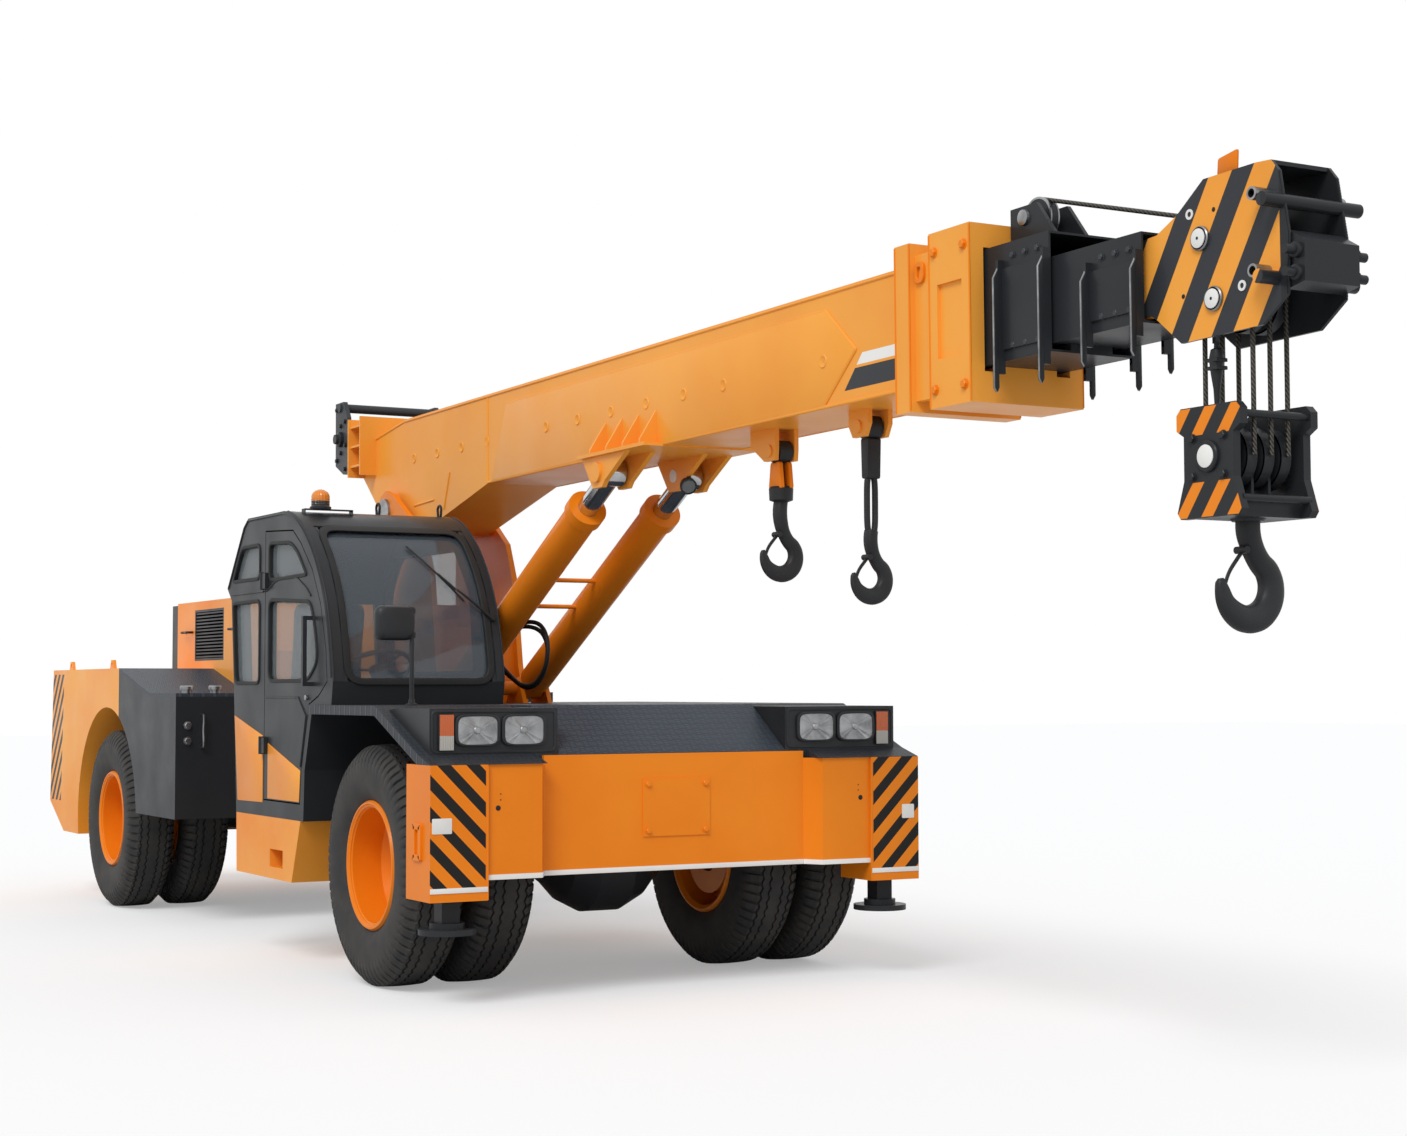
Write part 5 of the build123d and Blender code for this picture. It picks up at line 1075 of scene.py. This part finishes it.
drum = {
    "u": -0.598,
    "v": 0.480,
    "radius": 0.070,
    "rope": 0.0085,
    "turns": 24,
    "half": 0.24,
    "cheekY": 0.301,
    "bolts": ((-0.66, 0.36), (-0.53, 0.30), (-0.53, 0.58), (-0.66, 0.66), (-0.60, 0.40), (-0.60, 0.56), (-0.52, 0.44),
              (-0.68, 0.50)),
    "hub": [(0, 0.045), (0.018, 0.045), (0.024, 0.030), (0.040, 0.028)],
}
winchTrim = [s for sign in (-1, 1) for u, v in drum["bolts"]
             for s in hexHead(onBoom(u, v, sign * drum["cheekY"]), (0, sign, 0), 0.013)]
winchTrim.append(turned(drum["hub"], onBoom(drum["u"], drum["v"], -drum["cheekY"]), (0, -1, 0), 28))
putPiece("winch_bolts", winchTrim, "black", "boom")

turn = np.arange(drum["turns"] * 24 + 1) / 24
coil = [drum["radius"] * np.cos(turn * 2 * math.pi), (turn / drum["turns"] - 0.5) * 2 * drum["half"],
        drum["radius"] * np.sin(turn * 2 * math.pi)]
lay = onBoom(drum["u"], drum["v"]) + np.stack(coil, 1)
putPiece("drum_rope", [tube(lay, drum["rope"], 8, (0, 1, 0))], "rope", "winch_drum")
print("boom, collar and winch trim made")


# telescopic sections: bent guide fins round the front ends

fins = {  # how far out the section's side is, its lower and upper edge, and its front end
    "section_two": (0.180, 0.086, 0.502, 5.960),
    "section_three": (0.155, 0.118, 0.416, 6.410),
}
for body, (reach, low, high, front) in fins.items():
    shape = [(reach + dy, low + dz) for dy, dz in ((-0.002, -0.020), (0.024, -0.040), (0.024, -0.095), (0.032, -0.110), (0.042, -0.095))]
    shape = [(reach - 0.002, high - 0.060), *shape, (reach + 0.042, high - 0.125), (reach + 0.006, high - 0.060)]
    made = [plate("boomFront", shape, u, u + 0.014, 0.002) for u in (front - 0.269, front - 0.0155)]
    # bright steel tubes along the fins' outer edges: painted highlight on the black fins
    edges = [tube(laid("boomFront", np.array([(y, v, u) for y, v in shape[4:8]])), 0.0035, 8, (1, 0, 0))
             for u in (front - 0.262, front - 0.0085)]
    putPiece(body + "_fins", both(made), "black", body)
    putPiece(body + "_fin_edge_highlights", both(edges), "steel", body)
    bolts = [s for u in (front - 0.20, front - 0.13, front - 0.06) for v in (low + 0.05, high - 0.05)
             for s in hexHead(onBoom(u, v, -reach), (0, -1, 0), 0.011)]
    putPiece(body + "_pad_bolts", both(bolts), "grey", body)

topSheave = onBoom(5.692, 0.607)
rims = [hoop(topSheave, (0, 1, 0), (y - 0.003, y + 0.003), (0.0725, 0.0802), 48) for y in (-0.0165, 0.0165)]
rims += [turned([(0, 0.030), (0.010, 0.028), (0.014, 0.018)], topSheave + (0, sign * 0.076, 0), (0, sign, 0), 24)
         for sign in (1, -1)]
putPiece("top_sheave_rims", rims, "steel", "section_two")
print("fins and top sheave made")


# head, block and hooks

head = {
    "pins": ((4.505, 2.776), (4.565, 2.576)),
    "tubes": ((4.800, 2.858), (4.800, 2.622)),
    "bolts": ((4.455, 2.862), (4.690, 2.598)),
    "holes": ((4.565, 2.858), (4.420, 2.605)),
    "nose": ((4.915, 2.672), (4.915, 2.604)),
    "tab": [(4.560, 2.955), (4.650, 2.955), (4.655, 3.035), (4.565, 3.020)],
    "socket": [(-2.450, 0.007), (-2.430, 0.008), (-2.425, 0.018), (-2.395, 0.024), (-2.345, 0.018), (-2.300, 0.011),
               (-2.245, 0.008)],
    "sheaves": (-0.070, 0.0, 0.070),
}


def capsAt(places, y, profile):
    # the same turned profile at each X and Z, facing right
    return [turned(profile, (x, y, z), (0, -1, 0), 28) for x, z in places]


def sheaveRims(x, y, z):
    return [hoop((x, 0, z), (0, 1, 0), (y + edge - 0.0025, y + edge + 0.0025), (0.0935, 0.1005)) for edge in (-0.0175, 0.0175)]


collars = capsAt(head["pins"], -0.124, [(0, 0.040), (0.008, 0.040), (0.012, 0.037)])
collars += [turned([(-0.002, 0.021), (0.062, 0.021), (0.062, 0.014), (0.020, 0.014)], (x, -0.124, z), (0, -1, 0), 24, closed=True)
            for x, z in head["tubes"]]
putPiece("head_pin_collars", both(collars), "steel", "section_four")
caps = capsAt(head["pins"], -0.1362, [(0, 0.031), (0.003, 0.031), (0.004, 0.029)])
caps += [hoop((x, -0.1245, z), (0, -1, 0), (0, 0.003), (0.009, 0.017), 20) for x, z in head["bolts"]]
putPiece("head_pin_caps", both(caps), "white", "section_four")
# thin dark discs at the holes in the plates and in the middle of the pin caps: painted shade inside the holes
dots = [disc((x, y, z), (0, -1, 0), radius, 0.001) for key, y, radius in (("holes", -0.1243, 0.0075), ("pins", -0.1405, 0.005))
        for x, z in head[key]]
putPiece("head_hole_shadows", both(dots), "seal", "section_four")
nosePins = [tube([(x, -0.165, z), (x, 0.165, z)], 0.015, 16, (0, 0, 1)) for x, z in head["nose"]]
nosePins += [turned([(0, 0.024), (0.014, 0.024), (0.016, 0.021)], (x, sign * 0.112, z), (0, sign, 0), 20)
             for x, z in head["nose"] for sign in (1, -1)]
headSeams = both([weldBead([(4.853, -0.118, 2.925), (4.890, -0.118, 2.728), (4.883, -0.118, 2.545)], 0.004)])
putPiece("head_nose_pins", nosePins + headSeams, "black", "section_four")
putPiece("head_top_tab", [plate("right", softened(head["tab"], 0.008, 3), 0.098, 0.104)], "orange", "section_four")
socket = [turned(head["socket"], (4.520, -0.080, 0), (0, 0, -1), 16)]
socket += [box((4.498, 4.546), (-0.102, -0.058), (z, z + 0.012), 0.003) for z in (2.36, 2.385)]
putPiece("rope_socket", socket, "forged", "hook_block")
sheaveRings = [s for y in head["sheaves"] for x, z in head["pins"] for s in sheaveRims(x, y, z)]
putPiece("head_sheave_rims", sheaveRings, "grey", "section_four")

block = {
    "x": 4.565,
    "pinZ": 2.080,
    "cheekY": 0.160,
    "bolts": ((-0.07, -0.06), (0.07, -0.06), (-0.07, 0.06), (0.07, 0.06)),
    "neck": [(1.882, 0.050), (1.889, 0.056), (1.905, 0.056), (1.912, 0.050)],
}
x, pinZ = block["x"], block["pinZ"]
blockParts = []
for sign in (1, -1):
    y, axis = sign * block["cheekY"], (0, sign, 0)
    blockParts.append(turned([(0, 0.050), (0.008, 0.050), (0.012, 0.046)], (x, y, pinZ), axis, 32))
    blockParts += [s for dx, dz in block["bolts"] for s in hexHead((x + dx, y, pinZ + dz), axis, 0.013)]
blockParts += [tube([(x + dx, -0.140, z), (x + dx, 0.140, z)], 0.012, 12, (0, 0, 1))
               for dx in (-0.126, 0.126) for z in (1.945, 2.205)]
blockParts.append(turned(block["neck"], (x, 0, 0), (0, 0, 1), 32))
blockParts += [s for y in head["sheaves"] for s in sheaveRims(x, y, pinZ)]
putPiece("block_fittings", blockParts, "black", "hook_block")
blockCap = [(0, 0.036), (0.003, 0.036), (0.004, 0.034)]
blockCaps = [turned(blockCap, (x, sign * 0.1715, pinZ), (0, sign, 0), 28) for sign in (1, -1)]
putPiece("block_pin_caps", blockCaps, "white", "hook_block")


def forgedHook(x, bowlZ, outer, bowl, thick, top, shank):
    # the line through the section's middle comes down the shank and goes round the bowl; the width is what the two
    # circles leave between them, and both width and thickness fall away towards the tip
    turn = np.radians([62, 40, 15, -10, -35, -60, -85, -110, -135, -160, -178, -192])
    gap = 0.86 * bowl + 0.08 * outer * (np.sin(turn) - np.cos(turn))
    taper = np.interp(-np.degrees(turn), [100, 140, 180, 192], [1, 0.96, 0.74, 0.50])
    wide = (outer - gap) / 2 * taper
    ring = outer - wide
    deep = thick / 2 * np.interp(-np.degrees(turn), [-62, 0, 90, 140, 192], [0.95, 1.0, 1.0, 0.85, 0.45])
    line = np.stack([ring * np.cos(turn), bowlZ + ring * np.sin(turn), wide, deep], 1)
    line[0, 2] = min(line[0, 2], shank * 1.35)
    stem = [(0, top, shank, shank), (0, bowlZ + 1.32 * outer, shank, shank),
            (0.10 * outer, bowlZ + 1.02 * outer, shank, min(shank, thick / 2))]
    line = smoothed(np.concatenate([stem, line]), 5)
    ahead = unit(np.gradient(line[:, :2], axis=0))
    out = np.stack([-ahead[:, 1], ahead[:, 0]], 1)
    angle = np.arange(20) * 2 * math.pi / 20
    side, lift = (np.sign(f(angle)) * np.abs(f(angle)) ** 0.8 for f in (np.cos, np.sin))
    y = line[:, 0, None] + out[:, 0, None] * line[:, 2, None] * side
    z = line[:, 1, None] + out[:, 1, None] * line[:, 2, None] * side
    depth = x + line[:, 3, None] * lift
    rings = np.stack([depth, y, z], -1)
    tip = rings[-1].mean(0)
    rings = np.concatenate([rings, (tip + (rings[-1] - tip) * 0.55 + np.array([0, 0, 0.010]))[None]])
    return loft(rings)


def safetyLatch(x, bowlZ, outer):
    path = [(x, y * outer, bowlZ + z * outer) for y, z in ((-0.10, 0.98), (-0.34, 0.72), (-0.62, 0.36), (-0.72, 0.12))]
    spring = turned([(-0.026, 0.012), (0.026, 0.012)], (x, -0.20 * outer, bowlZ + 0.92 * outer), (1, 0, 0), 14)
    return [tube(smoothed(path, 6), 0.0075, 8, (1, 0, 0), flat=0.5), spring]


def swivelParts(x):
    # the swivel's bearing and stem under an eye round the boom's pin
    return [turned([(2.150, 0.034), (2.156, 0.050), (2.206, 0.052), (2.214, 0.044)], (x, 0, 0), (0, 0, 1), 32),
            hoop((x, 0, 2.361), (0, 1, 0), (-0.031, 0.031), (0.0275, 0.049)),
            turned([(2.20, 0.014), (2.335, 0.014)], (x, 0, 0), (0, 0, 1), 16)]


def linkParts(x):
    # one long chain link, a superellipse, under an eye with a flat tongue
    turn = np.linspace(0, 2 * math.pi, 40, endpoint=False)
    y, z = (size * np.sign(f(turn)) * np.abs(f(turn)) ** power for size, f, power in ((0.0190, np.cos, 0.6), (0.118, np.sin, 0.5)))
    tongue = softened([(x - 0.022, 2.192), (x + 0.022, 2.192), (x + 0.028, 2.352), (x - 0.028, 2.352)], 0.01)
    return [tube(np.stack([np.full(40, x), y, 2.090 + z], 1), 0.0125, 12, (1, 0, 0), closed=True),
            hoop((x, 0, 2.395), (0, 1, 0), (-0.031, 0.031), (0.0275, 0.047)),
            plate("right", tongue, -0.030, 0.030, 0.004)]


hooks = {  # node, body, X, height of the bowl's middle, outer and bowl radius, thickness, top and shank radius, more parts
    "main": ("main_hook", "hook_block", (4.565, 1.667, 0.136, 0.066, 0.062, 1.890, 0.036), None),
    "swivel": ("swivel_hook", "swivel_hook", (1.745, 1.915, 0.105, 0.050, 0.046, 2.160, 0.028), swivelParts),
    "link": ("link_hook", "link_hook", (2.430, 1.790, 0.098, 0.046, 0.044, 1.985, 0.026), linkParts),
}
x = hooks["swivel"][2][0]
cheek = softened([(x - 0.052, 2.204), (x + 0.052, 2.204), (x + 0.036, 2.318), (x - 0.036, 2.318)], 0.014)
cheeks = [plate("right", cheek, low, high, 0.003) for low, high in ((-0.031, -0.014), (0.014, 0.031))]
for name, (node, body, sizes, more) in hooks.items():
    parts = [forgedHook(*sizes)] + safetyLatch(*sizes[:3]) + (more(sizes[0]) if more else [])
    if name == "swivel":
        putPiece("swivel_shackle", cheeks, "orange", body)
    putPiece(f"forged_{name}_hook", parts, "forged", body, [node])
print("head fittings and hooks made")


# ropes over the boom and from the top sheave to the head, which run from one body to another and ride on none

rope = {
    "radius": 0.008,
    "top": 0.0718,
    "run": [(-0.560, 0.556), (-0.250, 0.549), (0.600, 0.534), (2.600, 0.533), (4.600, 0.536), (5.080, 0.600), (5.350, 0.606),
            (5.600, 0.610), (5.632, 0.651), (5.682, 0.6778)],
}


def putRope(name, path):
    item = putPiece(name, [tube(path, rope["radius"], 12, (0, 1, 0))], "rope", None)
    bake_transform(item)


lead = topSheave + np.array([0.012, 0, rope["top"]])
anchor = np.array([4.420, 0.0, 2.862])
half = lead + (anchor - lead) * 0.42
putRope("head_rope_rear", spaced([lead, half], 0.12))
putRope("head_rope_front", spaced([half, anchor], 0.12))
run = smoothed(boomPath(rope["run"], 0.0), 8)
putRope("boom_top_rope", run)
print("ropes made")


# rear: tank caps, plugs, level gauge and hood handles

rearTrim = {
    "capX": -3.090,
    "caps": (-1.110, -0.940),
    "capZ": 1.345,
    "cap": [(0, 0.030), (0.018, 0.030), (0.020, 0.040), (0.038, 0.040), (0.044, 0.034)],
    "plugs": ((-1.13, 1.16), (-1.13, 1.07)),
    "gauge": ((-2.999, 1.03), (-2.975, 1.03), (-2.972, 1.125), (-2.975, 1.22), (-2.999, 1.22)),
    "gaugeY": -1.045,
    "handles": (-3.75, -4.75),
    "handle": ((-0.07, 0.600), (-0.07, 0.632), (0, 0.634), (0.07, 0.632), (0.07, 0.600)),
    "handleZ": 1.74,
}
tankCaps = [turned(rearTrim["cap"], (rearTrim["capX"], y, rearTrim["capZ"]), (0, 0, 1), 28) for y in rearTrim["caps"]]
for y, z in rearTrim["plugs"]:
    tankCaps += hexHead((-2.9995, y, z), (1, 0, 0), 0.020)
tankCaps.append(tube(smoothed([(x, rearTrim["gaugeY"], z) for x, z in rearTrim["gauge"]], 6), 0.006, 10, (0, 1, 0)))
putPiece("tank_caps", tankCaps, "steel", "rear_unit")
bars = []
for x in rearTrim["handles"]:
    for sign in (1, -1):
        grip = [(x + dx, sign * y, rearTrim["handleZ"]) for dx, y in rearTrim["handle"]]
        bars.append(tube(smoothed(grip, 6), 0.008, 10, (0, 0, 1)))
putPiece("hood_handles", bars, "black", "rear_unit")
print("rear trim made")


# hoses that hang in a loop between the mast and the foot of the right ram

hose = {"radius": 0.011, "routes": (
    ((-0.560, -0.125, 1.700), (-0.470, -0.085, 1.690), (-0.385, -0.078, 1.600), (-0.395, -0.078, 1.500), (-0.500, -0.078, 1.405),
     (-0.680, -0.080, 1.385), (-0.830, -0.085, 1.440), (-0.930, -0.095, 1.500)),
    ((-0.600, -0.125, 1.680), (-0.520, -0.060, 1.660), (-0.460, -0.045, 1.590), (-0.465, -0.045, 1.500), (-0.560, -0.045, 1.400),
     (-0.700, -0.048, 1.372), (-0.850, -0.060, 1.420), (-0.960, -0.080, 1.480)))}
for number, route in enumerate(hose["routes"]):
    path = smoothed(route, 6)
    item = putPiece(f"ram_hose_{number}", [tube(path, hose["radius"], 12, (0, 1, 0))], "seal", None)
    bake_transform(item)
print("hoses made")


# camera, floor and light

camera = {
    "place": (9.9419 + crane["axleX"], -4.9739, 1.3596),
    "yaw": 150.713,
    "pitch": 3.056,
    "roll": -0.117,
    "focalPixels": 2277.28,
    "imageWidth": 1407,
}


def placeCamera():
    # looks along yaw and pitch; the lens comes from the focal length in pixels over the image's width
    yaw, pitch, roll = (math.radians(camera[key]) for key in ("yaw", "pitch", "roll"))
    ahead = np.array([math.cos(yaw) * math.cos(pitch), math.sin(yaw) * math.cos(pitch), math.sin(pitch)])
    right = unit(np.cross(ahead, (0, 0, 1)))
    up = np.cross(right, ahead)
    data = bpy.data.cameras.new("camera")
    data.sensor_width = 36
    data.sensor_fit = "HORIZONTAL"
    data.lens = 36 * camera["focalPixels"] / camera["imageWidth"]
    data.clip_end = 200
    item = bpy.data.objects.new("camera", data)
    matrix = np.eye(4)
    matrix[:3, 0] = right * math.cos(roll) + up * math.sin(roll)
    matrix[:3, 1] = up * math.cos(roll) - right * math.sin(roll)
    matrix[:3, 2] = -ahead
    matrix[:3, 3] = camera["place"]
    item.matrix_world = [list(row) for row in matrix.T]
    bpy.context.scene.collection.objects.link(item)
    bpy.context.scene.camera = item


floor = {"reach": 60, "colour": "D6D7D8", "glow": 0.32}


def addFloor():
    # a wide pale floor that the camera and glass see nearly white, with the shadows left on it
    reach = floor["reach"]
    mesh = bpy.data.meshes.new("floor")
    mesh.from_pydata([(-reach, -reach, 0), (reach, -reach, 0), (reach, reach, 0), (-reach, reach, 0)], [], [(0, 1, 2, 3)])
    item = bpy.data.objects.new("floor", mesh)
    bpy.context.scene.collection.objects.link(item)
    material = bpy.data.materials.new("paleFloor")
    material.use_nodes = True
    tree = material.node_tree
    tree.nodes.clear()
    shade = addNode(tree, "BsdfDiffuse", Color=srgb(floor["colour"]))
    glow = addNode(tree, "Emission", Color=(1, 1, 1, 1), Strength=floor["glow"])
    bright = addNode(tree, "AddShader", i0=shade, i1=glow)
    path = addNode(tree, "LightPath")
    seen = addNode(tree, "Math", operation="MAXIMUM", i0=path.outputs["Is Camera Ray"], i1=path.outputs["Is Transmission Ray"])
    addNode(tree, "OutputMaterial", Surface=addNode(tree, "MixShader", i0=seen, i1=shade, i2=bright))
    mesh.materials.append(material)


studio = {"sky": 0.62, "sun": 1.6, "softness": 25, "turn": (46, 0, 40)}


def lightStudio():
    # an even grey sky for light, white to the camera, metal and glass, and one wide soft lamp from the upper front
    world = bpy.data.worlds.new("studio")
    bpy.context.scene.world = world
    world.use_nodes = True
    tree = world.node_tree
    tree.nodes.clear()
    soft = addNode(tree, "Background", Color=(1, 1, 1, 1), Strength=studio["sky"])
    white = addNode(tree, "Background", Color=(1, 1, 1, 1), Strength=1.0)
    path = addNode(tree, "LightPath")
    seen = addNode(tree, "Math", operation="MAXIMUM", i0=path.outputs["Is Camera Ray"], i1=path.outputs["Is Glossy Ray"])
    through = addNode(tree, "Math", operation="MAXIMUM", i0=seen, i1=path.outputs["Is Transmission Ray"])
    addNode(tree, "OutputWorld", Surface=addNode(tree, "MixShader", i0=through, i1=soft, i2=white))
    data = bpy.data.lights.new("softSun", "SUN")
    data.energy = studio["sun"]
    data.angle = math.radians(studio["softness"])
    item = bpy.data.objects.new("softSun", data)
    item.rotation_euler = [math.radians(a) for a in studio["turn"]]
    bpy.context.scene.collection.objects.link(item)


placeCamera()
addFloor()
lightStudio()
bpy.context.scene.view_settings.view_transform = "Standard"
print("camera, floor and light placed")
